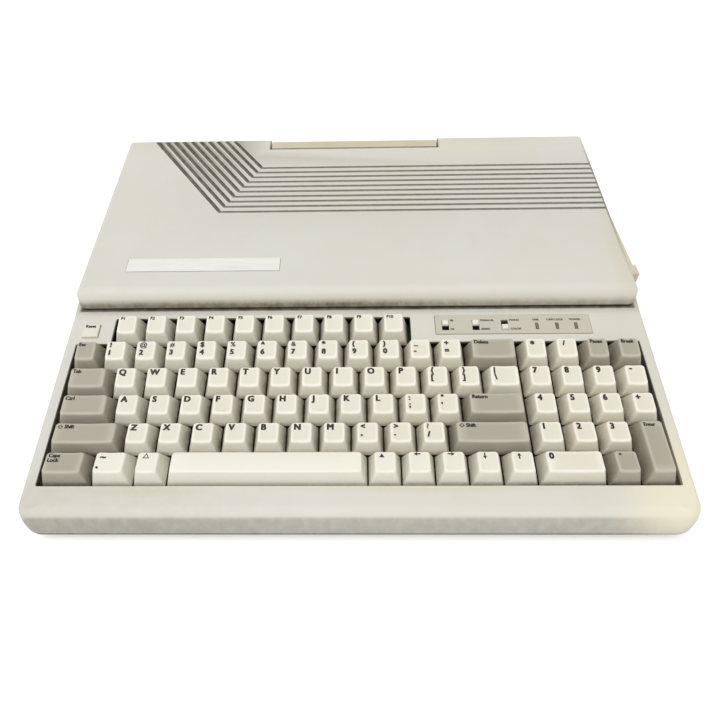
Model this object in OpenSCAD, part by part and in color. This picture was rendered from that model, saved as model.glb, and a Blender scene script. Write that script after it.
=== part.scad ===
// Vintage all-in-one home computer: wedge case, built-in keyboard, disk drive in the right side.
// +X right, +Y towards the rear, +Z up. The origin is the centre of the footprint, on the table.
// Millimetres. u, v, w are the keyboard's own axes: along a row, up the slope, off the slope.

/* [Case] */
// Width of the lower case
case_w = 376; // [370:1:390]
// Depth of the case, front to rear
case_d = 318; // [312:1:326]
// Thickness of the moulded walls
wall = 2.6; // [2.2:0.1:3]
// Thickness of the bottom case's floor
floor_t = 2.5; // [2:0.1:3]
// Radius of the front corners, seen from above
front_corner = 13; // [8:1:18]
// Radius of the rear corners, seen from above
rear_corner = 4; // [3.5:0.5:5]
// Height of the seam between bottom and top case
seam_z = 10; // [9.5:0.25:10.5]
// How far the bottom case's side leans in at its foot
undercut = 4; // [1:0.5:6]
// Height of the deck plane at the front of the case
deck_front_z = 21.3; // [20.8:0.1:23]
// Slope of the keyboard deck
deck_tilt = 8; // [7:0.25:8.5]
// Radius of the front edge of the deck
front_roll = 12; // [8:0.5:13]
// Radius of the deck's side edges
deck_edge = 3.5; // [2:0.5:5]

/* [Hood] */
// Radius of the hood's front corners, seen from above
hood_corner = 9; // [6:0.5:11]
// How far the hood's foot stands in from each side of the case
hood_inset = 3; // [2:0.5:5]
// Depth of the hood, measured from the rear of the case
hood_d = 172; // [170:0.5:173]
// Height of the hood's top plane above the deck, at its front
hood_step = 13; // [12:0.5:16]
// Slope of the hood's top
hood_tilt = 4.6; // [3.5:0.1:5.5]
// Radius of the hood's front nose
hood_nose = 10; // [6:0.5:11]
// Radius of the hood's other top edges
hood_edge = 3; // [2:0.25:4]
// Lean of the hood's sides, as a share of their height
hood_draft = 0.1; // [0:0.02:0.14]
// Height of the shadow gap under the hood's lip
lip_gap = 2.5; // [2:0.1:3.5]
// Depth of the shadow gap at the front
lip_depth = 5; // [3:0.5:6]
// Depth of the shadow gap along the sides
side_lip = 3; // [2:0.25:4]

/* [Grooves] */
// Number of grooves in each of the two fans
groove_n = 10; // [6:1:10]
// Distance between grooves
groove_pitch = 5.7; // [5:0.1:5.8]
// Width of a groove
groove_w = 1.7; // [1.2:0.1:2.2]
// Depth of a groove
groove_depth = 1.2; // [0.8:0.1:1.5]
// Distance of the rearmost straight groove from the rear of the case
groove_rear = 38.5; // [36:0.5:42]
// Where the rearmost groove turns
groove_turn_x = -71.5; // [-74:0.5:-70]
// Lean of the slanted grooves from the depth axis
groove_lean = 35.25; // [30:0.25:40]

/* [Badge and control panel] */
// Length of the blank badge plate
badge_l = 104; // [90:1:110]
// Width of the blank badge plate
badge_h = 12; // [10:0.5:14]
// Thickness of the badge plate
badge_t = 1; // [0.8:0.1:1.3]
// Where the badge plate's middle lies across the hood
badge_x = -102.5; // [-108:0.5:-98]
// Where the badge plate's middle lies behind the hood's lip
badge_back = 28; // [24:0.5:34]
// Length of the control panel's plate
panel_l = 100; // [99:0.5:102]
// Width of the control panel's plate
panel_h = 15; // [14:0.25:15.5]
// Thickness of the control panel's plate
panel_t = 1; // [0.8:0.1:1.3]
// Where the control panel's middle lies across the deck
panel_x = 102.4; // [102:0.1:103]
// Where the control panel's middle lies up the slope
panel_v = 110.6; // [110.2:0.1:111]

/* [Keys] */
// Distance between neighbouring key centres
pitch = 19.05; // [19:0.01:19.1]
// Slope distance from the case's front to the first key row
front_border = 23; // [22.5:0.25:24]
// Gap between the skirts of neighbouring keys
key_gap = 0.9; // [0.8:0.05:1.2]
// Inset of a key's top from its cell at each side
cap_inset = 3.8; // [3.4:0.1:4]
// Inset of a key's top from its cell at the front
cap_front = 4.2; // [3.8:0.1:4.6]
// Depth of a key's top
cap_top = 12.7; // [12:0.1:13]
// Thickness of a key cap's walls
cap_wall = 1.2; // [1:0.1:1.4]
// Height of the key skirts' lower edge over the keyboard's zero plane
skirt_w = -1.3; // [-1.5:0.05:-1.2]
// How far a key goes down
travel = 3.2; // [2.8:0.1:3.3]
// Width of a key's square stem
stem = 4.8; // [4.4:0.1:5]
// Gap round the keys in the deck's opening
key_clear = 2; // [1.6:0.1:2.2]
// Gap in front of the first key row
key_front_clear = 0.6; // [0.5:0.05:0.9]
// Extra gap before the function row
fn_gap = 1.2; // [1:0.05:1.4]
// Where the function row starts, in key widths
fn_start = 1.176; // [1.1:0.01:1.25]
// Side of the square Reset button
reset_side = 10.2; // [9.5:0.1:10.6]
// How far the Reset button goes down
reset_travel = 1; // [0.8:0.1:1.2]

/* [Keyboard mechanism] */
// Height of the deck plane over the keyboard's zero plane
deck_w = 2; // [1.8:0.05:2.2]
// Depth of the steel plate under the zero plane
plate_drop = 6.2; // [6.1:0.05:6.5]
// Thickness of the steel plate
plate_t = 1.5; // [1.2:0.1:1.6]
// Width of a switch housing above the plate
switch_w = 13; // [12:0.1:13.2]
// Height of a switch housing's top below the zero plane
switch_top = 2.8; // [2.7:0.05:3.2]
// Width of a switch housing's shoulder under the plate
shoulder_w = 15; // [14:0.1:16]
// Depth of the keyboard's circuit board under the zero plane
kb_board_drop = 12.5; // [12.3:0.05:12.8]
// Thickness of the circuit boards
board_t = 1.6; // [1.4:0.1:1.8]

/* [Slide switches and lamps] */
// Side of a slide switch's square knob
knob_side = 4; // [3.6:0.1:4.2]
// How far a slide switch moves
slide_travel = 3.5; // [3:0.1:3.8]
// Width of a lamp's lens
lens_w = 1.6; // [1.4:0.1:2]
// Length of a lamp's lens
lens_l = 4.6; // [4:0.1:5]

/* [Handle] */
// Width of the handle's pocket
pocket_w = 134; // [126:1:140]
// Depth of the handle's pocket from the rear
pocket_d = 14.4; // [14:0.1:15]
// Height of the pocket's floor
pocket_z = 52.6; // [52.4:0.1:53]
// Radius of the round end of a handle arm
arm_r = 4.3; // [4:0.1:4.4]
// Width of a handle arm
arm_w = 9; // [7:0.5:12]
// Height of the handle's grip bar
grip_h = 6.5; // [5.5:0.25:7]
// Radius of the handle's pivot studs
stud_r = 2; // [1.6:0.1:2.4]

/* [Disk drive] */
// Length of the drive's bezel
bezel_l = 146; // [144:0.5:147]
// Height of the drive's bezel
bezel_h = 39.6; // [39:0.1:40]
// Thickness of the drive's bezel
bezel_t = 5; // [4.5:0.25:5.5]
// How far the bezel stands out of the lower case
bezel_out = 1.5; // [1:0.1:2]
// How far the bezel's grip block stands out of its face
grip_out = 2; // [1.5:0.25:2.5]
// Distance from the bezel's rear end to the rear of the case
bezel_rear = 3; // [2.5:0.25:4]
// Width of the disk slot
slot_l = 137; // [135:0.5:138]
// Height of the disk slot
slot_h = 5; // [4.8:0.1:5.4]
// Height of the disk's plane
disk_z = 30; // [29.6:0.1:30.4]
// Length of the drive's chassis, away from the bezel
chassis_l = 189; // [186:1:190]
// Width of the drive's chassis
chassis_w = 139.5; // [139:0.25:140]
// Thickness of the chassis's walls
chassis_t = 2.5; // [2:0.1:2.8]
// Height of the chassis's top
chassis_z = 48; // [47.5:0.1:48.4]
// Distance of the spindle from the bezel's face
spindle_in = 78; // [77:0.5:79]
// Radius of the spindle's shaft
spindle_r = 3; // [2.5:0.1:3.5]
// Radius of the spindle's hub
hub_r = 14; // [12:0.5:15]
// Length of the drive's turning lever
lever_l = 24; // [20:0.5:25]
// Radius of the lever's shaft
lever_shaft_r = 3; // [2.5:0.1:3.5]
// Radius of the carriage's rails
rail_r = 3; // [2.5:0.1:3.2]
// Distance of each rail from the drive's middle
rail_off = 25; // [23:0.5:27]
// How far the clamp comes down
clamp_travel = 3; // [2.5:0.1:3]
// Stroke of the head carriage
head_travel = 24; // [22:0.5:25]

/* [Rear and sides] */
// Radius of the rubber feet
foot_r = 8; // [6:0.5:10]
// Height of the rubber feet
foot_h = 3; // [2.5:0.1:3]
// Radius of the screws' shafts
screw_r = 1.5; // [1.2:0.1:1.8]
// Radius of the screws' heads
screw_head_r = 2.9; // [2.6:0.1:3]
// Radius of the screw bosses
boss_r = 3.5; // [3.3:0.1:3.7]
// Height of the main board's underside
main_board_z = 9.1; // [8.8:0.1:9.4]
// Radius of the volume wheel
wheel_r = 8; // [7:0.25:8.5]
// Thickness of the volume wheel
wheel_t = 3; // [2.5:0.25:3.5]
// Radius of the volume wheel's pin
wheel_pin_r = 1.5; // [1.2:0.1:1.8]
// Radius of the speaker
speaker_r = 22; // [18:0.5:24]
// Length of the cover over the expansion slot
door_l = 70; // [60:1:76]
// Height of the cover over the expansion slot
door_h = 20; // [16:0.5:22]
// Width of the power rocker
rocker_w = 16; // [14:0.5:18]
// Height of the power rocker
rocker_h = 9; // [8:0.25:9.5]
// Tilt of the rocker to each side
rocker_tilt = 7; // [5:0.5:8]

/* [Clearances] */
// Gap round pieces that sit or slide in an opening
fit_gap = 0.3; // [0.25:0.05:0.4]
// Radial gap of a shaft in its bore
run_gap = 0.05; // [0.03:0.01:0.08]

/* [Hidden] */
$fn = 48;
eps = 0.01;
// Cuts and outlines run past what they cut by a reach, and past the hood's top by their height
reach = 20;
tall = 100;
front_y = -case_d / 2;
rear_y = case_d / 2;
half_w = case_w / 2;
hood_w = case_w - 2 * hood_inset;
// The drive's grip block reaches past the case at the right, so the case sits left of the origin
case_shift = -(bezel_out + grip_out) / 2;

function deck_z(y) = deck_front_z + (y - front_y) * tan(deck_tilt);

hood_y = rear_y - hood_d;
ledge_z = deck_z(hood_y);
hood_low_z = ledge_z + lip_gap;
function hood_z(y) = ledge_z + hood_step + (y - hood_y) * tan(hood_tilt);

// The keyboard's zero plane
kb_y = front_y + front_border;
kb_z = deck_z(kb_y - deck_w * sin(deck_tilt)) - deck_w * cos(deck_tilt);
kb_w = 18.75 * pitch;
kb_board_half = kb_w / 2 - 2.6;
kb_board_v = [-1, 117];
function row_v(row) = row == 1 ? 5 * pitch + fn_gap : (6 - row) * pitch;

// Heights of a key's top over the zero plane at its front and back, for rows 1 to 6
cap_front_w = [9.5, 9.5, 7.9, 8.3, 8.9, 10.3];
cap_back_w = [10.8, 10.8, 9.2, 8.7, 8.6, 9.2];

// Keys as [start in key widths, row, width in key widths, rows covered]
FUNCTION_ROW = [for (i = [0:9]) [fn_start + i, 1, 1, 1]];
DIGIT_ROW = [for (i = [0:11]) [1 + i, 2, 1, 1]];
UPPER_ROW = [for (i = [0:11]) [1.5 + i, 3, 1, 1]];
HOME_ROW = [for (i = [0:10]) [1.75 + i, 4, 1, 1]];
LOWER_ROW = [for (i = [0:9]) [2.25 + i, 5, 1, 1]];
PAD_UPPER = concat(
    [for (i = [0:1]) [14.75 + i, 2, 1, 1]],
    [for (i = [0:3]) [14.75 + i, 3, 1, 1]]
);
PAD_LOWER = concat(
    [for (i = [0:3]) [14.75 + i, 4, 1, 1]],
    [for (i = [0:2]) [14.75 + i, 5, 1, 1]]
);
ESCAPE = [0, 2, 1, 1];
DELETE = [13, 2, 1.75, 1];
PAUSE = [16.75, 2, 1, 1];
BREAK = [17.75, 2, 1, 1];
TAB = [0, 3, 1.5, 1];
BACKSLASH = [13.5, 3, 1.25, 1];
CONTROL = [0, 4, 1.75, 1];
RETURN = [12.75, 4, 2, 1];
LEFT_SHIFT = [0, 5, 2.25, 1];
RIGHT_SHIFT = [12.25, 5, 2.5, 1];
CAPS_LOCK = [0, 6, 1.5, 1];
TILDE = [1.5, 6, 1.25, 1];
OPEN_TRIANGLE = [2.75, 6, 1, 1];
SPACE = [3.75, 6, 6, 1];
SOLID_TRIANGLE = [9.75, 6, 1, 1];
ARROW_LEFT = [10.75, 6, 1, 1];
ARROW_RIGHT = [11.75, 6, 1, 1];
ARROW_DOWN = [12.75, 6, 1, 1];
ARROW_UP = [13.75, 6, 1, 1];
PAD_ZERO = [14.75, 6, 2, 1];
PAD_POINT = [16.75, 6, 1, 1];
ENTER = [17.75, 6, 1, 2];
ALL_KEYS = concat(
    FUNCTION_ROW, DIGIT_ROW, UPPER_ROW, HOME_ROW, LOWER_ROW, PAD_UPPER, PAD_LOWER,
    [ESCAPE, DELETE, PAUSE, BREAK, TAB, BACKSLASH, CONTROL, RETURN, LEFT_SHIFT, RIGHT_SHIFT],
    [CAPS_LOCK, TILDE, OPEN_TRIANGLE, SPACE, SOLID_TRIANGLE],
    [ARROW_LEFT, ARROW_RIGHT, ARROW_DOWN, ARROW_UP, PAD_ZERO, PAD_POINT, ENTER]
);
// Along a wide key the outer stems stand this far from its ends, in key widths
stem_end = 1;
function stems(k) = k[2] < 4 ? [0] : [-(k[2] / 2 - stem_end) * pitch, 0, (k[2] / 2 - stem_end) * pitch];
// Height of the middle of a key's top
function cap_mid(k) = (cap_front_w[k[1] - 1] + cap_back_w[k[1] - 1]) / 2;
function key_u(k) = (k[0] + k[2] / 2) * pitch;
function key_v(k) = row_v(k[1]) + k[3] * pitch / 2;
stem_low = plate_drop + plate_t;
well_low = stem_low + travel + fit_gap;

// Middle of the Reset button, in the keyboard's axes
reset_u = 6;
reset_v = 107.1;
// The button's stem stands to the right of its middle, over the keyboard's board
reset_stem_u = reset_u + 3;
// How far the Reset button stands over the deck
reset_proud = reset_travel + 0.4;

// Slide switches: place along the panel, and whether they rest at the upper end
SLIDES = [[-43.5, 1], [-23.9, 1], [-5.1, 0]];
slide_low_v = panel_v - 2.3;
slot_len = knob_side + slide_travel + 2 * fit_gap;
slide_body_l = 9;
slide_body_v = 13;
slide_body_top = 3.6;
// Lamps: places along the panel
LAMPS = [15.5, 28.4, 40.6];
lamp_v = panel_v - 1.6;

// Posts under the keyboard's board and under the other inner pieces
KB_POSTS_X = [-165, -55, 55, 165];
KB_POSTS_V = [4, 60, 112];
post_r = 3;

// Drive
bezel_face = half_w + bezel_out;
bezel_y = rear_y - bezel_rear - bezel_l / 2;
bezel_low_z = seam_z + fit_gap;
bezel_back = bezel_face - bezel_t;
chassis_x1 = bezel_back - fit_gap;
chassis_x0 = chassis_x1 - chassis_l;
chassis_low_z = 9.5;
spindle_x = bezel_face - spindle_in;
lever_z = 40;
lever_recess = 3.6;
lever_boss_r = 6;
clamp_shaft_r = 2.5;
bridge_w = 20;
bridge_t = 3;
bridge_z = chassis_z - 4;
carriage_l = 58;
carriage_x0 = chassis_x0 + 6;
carriage_half = rail_off + 6;
rail_z = 20;
bracket_t = 4;
// The rails end in a bracket that the carriage just clears at the end of its stroke
rail_x1 = carriage_x0 + carriage_l + head_travel + 1 + bracket_t;
grip_block_l = 9;

// Screws up through the bottom case into the top case's bosses
side_boss_x = half_w - wall - boss_r - 5 * fit_gap;
// The rear one beside the drive
drive_side_x = chassis_x0 - boss_r - 1.7;
SCREWS = [
    [-side_boss_x, front_y + 19], [side_boss_x, front_y + 19],
    [-side_boss_x, front_y + 99], [side_boss_x, front_y + 99],
    [-side_boss_x, rear_y - 9], [side_boss_x, hood_y + 16], [drive_side_x, rear_y - 9]
];
screw_pad_z = seam_z - 1;
// A boss ends inside the wall above it: the deck, the ledge round the hood or the pocket's floor
function boss_top(s) = -wall / 2 + (
    s[1] < hood_y ? deck_z(s[1] - boss_r) :
    abs(s[0]) < pocket_w / 2 ? pocket_z : ledge_z
);
screw_top_z = 20;
head_seat_z = 6.4;

// Handle
pocket_y = rear_y - pocket_d;
pivot_y = pocket_y + arm_r + 2.9;
pivot_z = pocket_z + arm_r + fit_gap;
grip_top_z = hood_z(pocket_y) - 0.4;
grip_y0 = pocket_y + 0.9;
grip_y1 = pivot_y + arm_r;
stud_l = 3;

// Main board and what stands on it
main_board_top = main_board_z + board_t;
MAIN_X = [-half_w + 12, drive_side_x - boss_r - 2.5];
main_l = MAIN_X[1] - MAIN_X[0];
MAIN_Y = [32, rear_y - 9];
MAIN_POSTS = [for (y = [40, 142], x = [MAIN_X[0] + 8, -95, MAIN_X[1] - 6]) [x, y]];
// Chips as [x, y, length, width, height]
CHIPS = [
    for (i = [0:7]) [MAIN_X[0] + 16 + (main_l - 34) / 7 * i, 62, 9, 22, 4],
    for (i = [0:4]) [MAIN_X[0] + 21 + (main_l - 48) / 4 * i, 92, 15, 30, 4.5],
    [-130, 120, 30, 12, 4.5], [-90, 120, 26, 12, 4.5], [-50, 118, 14, 14, 16]
];
// Sockets as [middle x, width, height, kind]; kinds: 0 round plug hole, 1 oblong recess, 2 phono
SOCKETS = [
    [-164.5, 19, 18, 0], [-147.2, 13, 12, 2], [-129, 19, 18, 0],
    [-104.2, 25, 13, 1], [-69, 37, 13, 1], [-32, 29, 13, 1]
];
socket_l = 18;
socket_hole_r = 6.6;
socket_deep = 8;
recess_h = 8;
recess_rim = 4;
phono_ring_r = 4.15;
phono_hole_r = 1.7;
// Power rocker over the first oblong socket
rocker_x = SOCKETS[3][0];
rocker_z = main_board_top + SOCKETS[3][2] + 7.7;
rocker_y = rear_y - 6;
rocker_frame = 2;
rocker_deep = 9;
rocker_pin_r = 1.2;

// Volume wheel and expansion cover in the left side
wheel_y = 48;
wheel_x = -half_w + wheel_r + 0.2;
wheel_z = 21;
pot_side = 10;
door_y = 102;
door_z = 27;
door_lip = 2;
speaker_x = -100;
speaker_y = 8;
speaker_h = 10;
speaker_ring = 2;

// ---------- helpers ----------

module in_case() {
    translate([case_shift, 0, 0]) children();
}

// Places its children in the keyboard's sloped axes
module on_slope(u = kb_w / 2, v = 0, w = 0) {
    in_case()
        translate([0, kb_y, kb_z])
            rotate([deck_tilt, 0, 0])
                translate([u - kb_w / 2, v, w])
                    children();
}

// A box by its low corner and high corner
module box(low, high) {
    translate(low) cube(high - low);
}

// A box centred across and along, from low to high
module post(w, d, low, high) {
    translate([-w / 2, -d / 2, low]) cube([w, d, high - low]);
}

function arc(y, z, r, a0, a1, n = 8) =
    [for (i = [0:n]) let (a = a0 + (a1 - a0) * i / n) [y + r * cos(a), z + r * sin(a)]];

// Extrudes an outline drawn in Y and Z along X, centred
module along_x(w) {
    translate([-w / 2, 0, 0]) rotate([90, 0, 90]) linear_extrude(w) children();
}

// Extrudes an outline drawn in X and Z from y0 to y1
module along_y(y0, y1) {
    translate([0, y1, 0]) rotate([90, 0, 0]) linear_extrude(y1 - y0) children();
}

// Outline seen from above, between y0 and y1, with front and rear corner radii
module plan(half, y0, y1, rf, rr) {
    polygon(concat(
        arc(half - rr, y1 - rr, rr, 0, 90, 4),
        arc(-(half - rr), y1 - rr, rr, 90, 180, 4),
        arc(-(half - rf), y0 + rf, rf, 180, 270),
        arc(half - rf, y0 + rf, rf, 270, 360)
    ));
}

// A long bar with round top edges that lies on a slope through [y, z]
module sloped_bar(y, z, tilt, half, draft, r, len) {
    depth = 80;
    translate([0, y, z]) rotate([tilt, 0, 0]) translate([0, -reach, 0])
        along_y(0, len + 2 * reach)
            polygon(concat(
                [[-(half + draft * depth), -depth], [half + draft * depth, -depth]],
                arc(half - r, -r, r, 0, 90, 6),
                arc(-(half - r), -r, r, 90, 180, 6)
            ));
}

// ---------- case ----------

// Lower case, shrunk by t on every side, from low up
module lower_block(t, low) {
    roll_y = front_y + front_roll;
    roll_z = deck_z(roll_y) - front_roll / cos(deck_tilt);
    intersection() {
        along_x(case_w + reach)
            polygon(concat(
                [[rear_y - t, low], [rear_y - t, ledge_z - t], [hood_y, ledge_z - t]],
                arc(roll_y, roll_z, front_roll - t, 90 + deck_tilt, 180),
                [[front_y + t, low]]
            ));
        sloped_bar(front_y, deck_front_z - t / cos(deck_tilt), deck_tilt, half_w - t, 0,
            max(deck_edge - t, 0.8), case_d);
        translate([0, 0, low])
            linear_extrude(tall)
                plan(half_w - t, front_y + t, rear_y - t, front_corner - t, max(rear_corner - t, 1));
    }
}

// Hood's side view, shrunk by t, from low up, extruded to a width
module hood_profile(t, low, width) {
    nose_y = hood_y + hood_nose;
    nose_z = hood_z(nose_y) - hood_nose / cos(hood_tilt);
    tail_y = rear_y - rear_corner;
    tail_z = hood_z(tail_y) - rear_corner / cos(hood_tilt);
    along_x(width)
        polygon(concat(
            [[rear_y - t, low]],
            arc(tail_y, tail_z, rear_corner - t, 0, 90 + hood_tilt),
            arc(nose_y, nose_z, hood_nose - t, 90 + hood_tilt, 180),
            [[hood_y + t, low]]
        ));
}

module hood_block() {
    half = hood_w / 2 - hood_draft * (hood_z(hood_y) - hood_low_z);
    intersection() {
        hood_profile(0, hood_low_z, case_w + reach);
        sloped_bar(hood_y, hood_z(hood_y), hood_tilt, half, hood_draft, hood_edge, hood_d);
        translate([0, 0, hood_low_z - 1])
            linear_extrude(tall)
                plan(hood_w / 2 + 1, hood_y - 1, rear_y, hood_corner, rear_corner);
    }
}

// The cavity's sides stand upright, a wall inside the hood's narrowest width
module hood_cavity() {
    half = hood_w / 2 - wall - hood_draft * (hood_z(rear_y) - hood_low_z);
    intersection() {
        hood_profile(wall, hood_low_z + wall, 2 * half);
        box([-case_w, hood_y + lip_depth + wall, 0], [case_w, rear_y, tall]);
    }
}

// Neck between lower case and hood, behind the shadow gap, shrunk by t
module neck_block(t) {
    box([-hood_w / 2 + side_lip + t, hood_y + lip_depth + t, ledge_z - wall - 1],
        [hood_w / 2 - side_lip - t, rear_y - side_lip - t, hood_low_z + wall + 1]);
}

module case_cavity() {
    lower_block(wall, seam_z - 1);
    hood_cavity();
    neck_block(wall);
}

// Straight and slanted grooves in the hood's top, running out over its edges
module grooves() {
    long = case_w;
    // Each corner steps along the line that halves the angle between the two fans
    step_x = groove_pitch / tan(45 + groove_lean / 2);
    for (i = [0:groove_n - 1]) {
        x = groove_turn_x - step_x * i;
        y = rear_y - groove_rear - groove_pitch * i;
        translate([x, y, hood_z(y)])
            rotate([hood_tilt, 0, 0]) {
                box([0, -groove_w / 2, -groove_depth], [long, groove_w / 2, 5]);
                rotate([0, 0, groove_lean])
                    box([-groove_w / 2, -groove_w / 2, -groove_depth], [groove_w / 2, long, 5]);
            }
    }
}

// Openings for the keys, in the keyboard's axes
module key_openings() {
    low = -wall - 8;
    box([-key_clear, -key_front_clear, low], [kb_w + key_clear, 5 * pitch + key_clear, reach]);
    box([fn_start * pitch - key_clear, 0, low],
        [(fn_start + 10) * pitch + key_clear, row_v(1) + pitch + key_clear, reach]);
    translate([reset_u, reset_v, 0]) post(reset_side + 2 * fit_gap, reset_side + 2 * fit_gap, low, reach);
}

// Slots for knobs and lamps through the control panel, in the keyboard's axes
module panel_slots() {
    w = knob_side + 2 * fit_gap;
    for (s = SLIDES)
        translate([s[0], slide_low_v - w / 2, -reach])
            translate([-w / 2, 0, 0]) cube([w, slot_len, 2 * reach]);
    for (x = LAMPS)
        translate([x, lamp_v, 0])
            post(lens_w + 2 * fit_gap, lens_l + 2 * fit_gap, -reach, reach);
}

module at_panel() {
    translate([kb_w / 2 + panel_x, 0, 0]) children();
}

module badge_at(t_low, t_high, grow) {
    y = hood_y + badge_back;
    in_case()
        translate([badge_x, y, hood_z(y)])
            rotate([hood_tilt, 0, 0])
                post(badge_l + 2 * grow, badge_h + 2 * grow, t_low, t_high);
}

module socket_cuts() {
    g = fit_gap;
    for (s = SOCKETS)
        box([s[0] - s[1] / 2 - g, rear_y - wall - 1, main_board_top - g],
            [s[0] + s[1] / 2 + g, rear_y + 1, main_board_top + s[2] + g]);
    translate([rocker_x, 0, rocker_z])
        box([-rocker_w / 2 - rocker_frame - g, rear_y - wall - 1, -rocker_h / 2 - rocker_frame - g],
            [rocker_w / 2 + rocker_frame + g, rear_y + 1, rocker_h / 2 + rocker_frame + g]);
}

module side_cuts() {
    g = fit_gap;
    // Drive bay, through the lower case's side and the neck
    box([hood_w / 2 - side_lip - wall - 1, bezel_y - bezel_l / 2 - g, seam_z - 1],
        [half_w + 10, bezel_y + bezel_l / 2 + g, bezel_low_z + bezel_h + g]);
    // Expansion cover
    box([-half_w - 1, door_y - door_l / 2 - g, door_z - door_h / 2 - g],
        [-half_w + wall + 1, door_y + door_l / 2 + g, door_z + door_h / 2 + g]);
    // Volume wheel
    translate([wheel_x, wheel_y, wheel_z - g])
        cylinder(r = wheel_r + 2 * g, h = wheel_t + 2 * g);
}

// Walls of the handle's pocket, filled; pocket_space() hollows them
module pocket_shell() {
    half = pocket_w / 2 + wall;
    box([-half, pocket_y - wall, pocket_z - wall],
        [half, rear_y - wall / 2, hood_z(pocket_y - wall) - wall / 2]);
}

module pocket_space() {
    half = pocket_w / 2;
    box([-half, pocket_y, pocket_z], [half, rear_y + 5, tall]);
    translate([-half - stud_l, pivot_y, pivot_z])
        rotate([0, 90, 0])
            cylinder(r = stud_r + run_gap, h = pocket_w + 2 * stud_l);
}

module top_case() {
    color("#d8d4c6") {
        difference() {
            in_case() {
                difference() {
                    union() {
                        difference() {
                            union() {
                                lower_block(0, seam_z);
                                neck_block(0);
                                hood_block();
                            }
                            case_cavity();
                        }
                        pocket_shell();
                        for (s = SCREWS)
                            translate([s[0], s[1], screw_pad_z])
                                cylinder(r = boss_r, h = boss_top(s) - screw_pad_z);
                    }
                    pocket_space();
                    grooves();
                    socket_cuts();
                    side_cuts();
                    for (s = SCREWS)
                        translate([s[0], s[1], screw_pad_z - 1])
                            cylinder(r = screw_r + run_gap, h = screw_top_z - screw_pad_z + 2);
                }
            }
            on_slope(0) key_openings();
            on_slope(0)
                at_panel() {
                    translate([0, panel_v, 0])
                        post(panel_l + 2 * fit_gap, panel_h + 2 * fit_gap, deck_w - panel_t, reach);
                    panel_slots();
                }
            badge_at(-badge_t, 5, fit_gap);
        }
    }
}

// Tray of the bottom case, shrunk by t on every side, from low up
module tray(t, low) {
    module flank(half) {
        h = half - t;
        up = seam_z - foot_h + 5;
        polygon([[-(h - undercut), 0], [h - undercut, 0], [h, seam_z - foot_h], [h, up],
            [-h, up], [-h, seam_z - foot_h]]);
    }
    intersection() {
        translate([0, 0, low])
            linear_extrude(seam_z + (t > 0 ? 4 : 0) - low)
                plan(half_w - t, front_y + t, rear_y - t, front_corner - t, max(rear_corner - t, 1));
        translate([0, 0, foot_h]) along_y(front_y - 1, rear_y + 1) flank(half_w);
        translate([0, 0, foot_h]) along_x(case_w + 2) flank(case_d / 2);
    }
}

module bottom_case() {
    floor_z = foot_h + floor_t;
    color("#cfcabb")
        difference() {
            union() {
                in_case() {
                    difference() {
                        tray(0, foot_h);
                        tray(wall, floor_z);
                    }
                    for (s = SCREWS)
                        translate([s[0], s[1], foot_h + 1]) cylinder(r = boss_r + 0.6, h = screw_pad_z - foot_h - 1);
                    for (p = MAIN_POSTS)
                        translate([p[0], p[1], floor_z - 1]) cylinder(r = post_r, h = main_board_z - floor_z + 1);
                    for (x = [chassis_x0 + 12, chassis_x1 - 12], y = [-1, 1])
                        translate([x, bezel_y + y * (chassis_w / 2 - 12), floor_z - 1])
                            cylinder(r = post_r, h = chassis_low_z - floor_z + 1);
                }
                // Posts under the keyboard, cut to the slope
                difference() {
                    for (x = KB_POSTS_X, v = KB_POSTS_V)
                        in_case()
                            translate([x, kb_y + v, floor_z - 1]) cylinder(r = post_r, h = 40);
                    on_slope() post(2 * case_w, 2 * case_d, -kb_board_drop - board_t, 60);
                }
            }
            in_case()
                for (s = SCREWS)
                    translate([s[0], s[1], foot_h - 1]) {
                        cylinder(r = screw_r + run_gap, h = reach);
                        cylinder(r = screw_head_r + fit_gap, h = head_seat_z - foot_h + 1);
                    }
        }
}

module badge_plate() {
    color("#e6e6e2") badge_at(-badge_t, 0.2, 0);
}

module control_panel() {
    color("#c9c9c2")
        difference() {
            on_slope(0)
                at_panel()
                    translate([0, panel_v, 0])
                        post(panel_l, panel_h, deck_w - panel_t, deck_w + 0.2);
            on_slope(0) at_panel() panel_slots();
        }
}

module expansion_cover() {
    color("#d2cdbf")
        in_case() {
            box([-half_w, door_y - door_l / 2, door_z - door_h / 2],
                [-half_w + wall, door_y + door_l / 2, door_z + door_h / 2]);
            box([-half_w + wall, door_y - door_l / 2 - door_lip, door_z - door_h / 2 - door_lip],
                [-half_w + wall + 1.5, door_y + door_l / 2 + door_lip, door_z + door_h / 2 + door_lip]);
        }
}

module rubber_feet() {
    color("#3a3a38")
        in_case()
            for (x = [-1, 1], y = [-1, 1])
                translate([x * (half_w - 23), y * (case_d / 2 - 19), 0]) cylinder(r = foot_r, h = foot_h);
}

module case_screws() {
    color("#8b8b88")
        in_case()
            for (s = SCREWS)
                translate([s[0], s[1], 0]) {
                    translate([0, 0, head_seat_z - 2]) cylinder(r = screw_head_r, h = 2);
                    translate([0, 0, head_seat_z - 1]) cylinder(r = screw_r, h = screw_top_z - head_seat_z + 1);
                }
}

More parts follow.
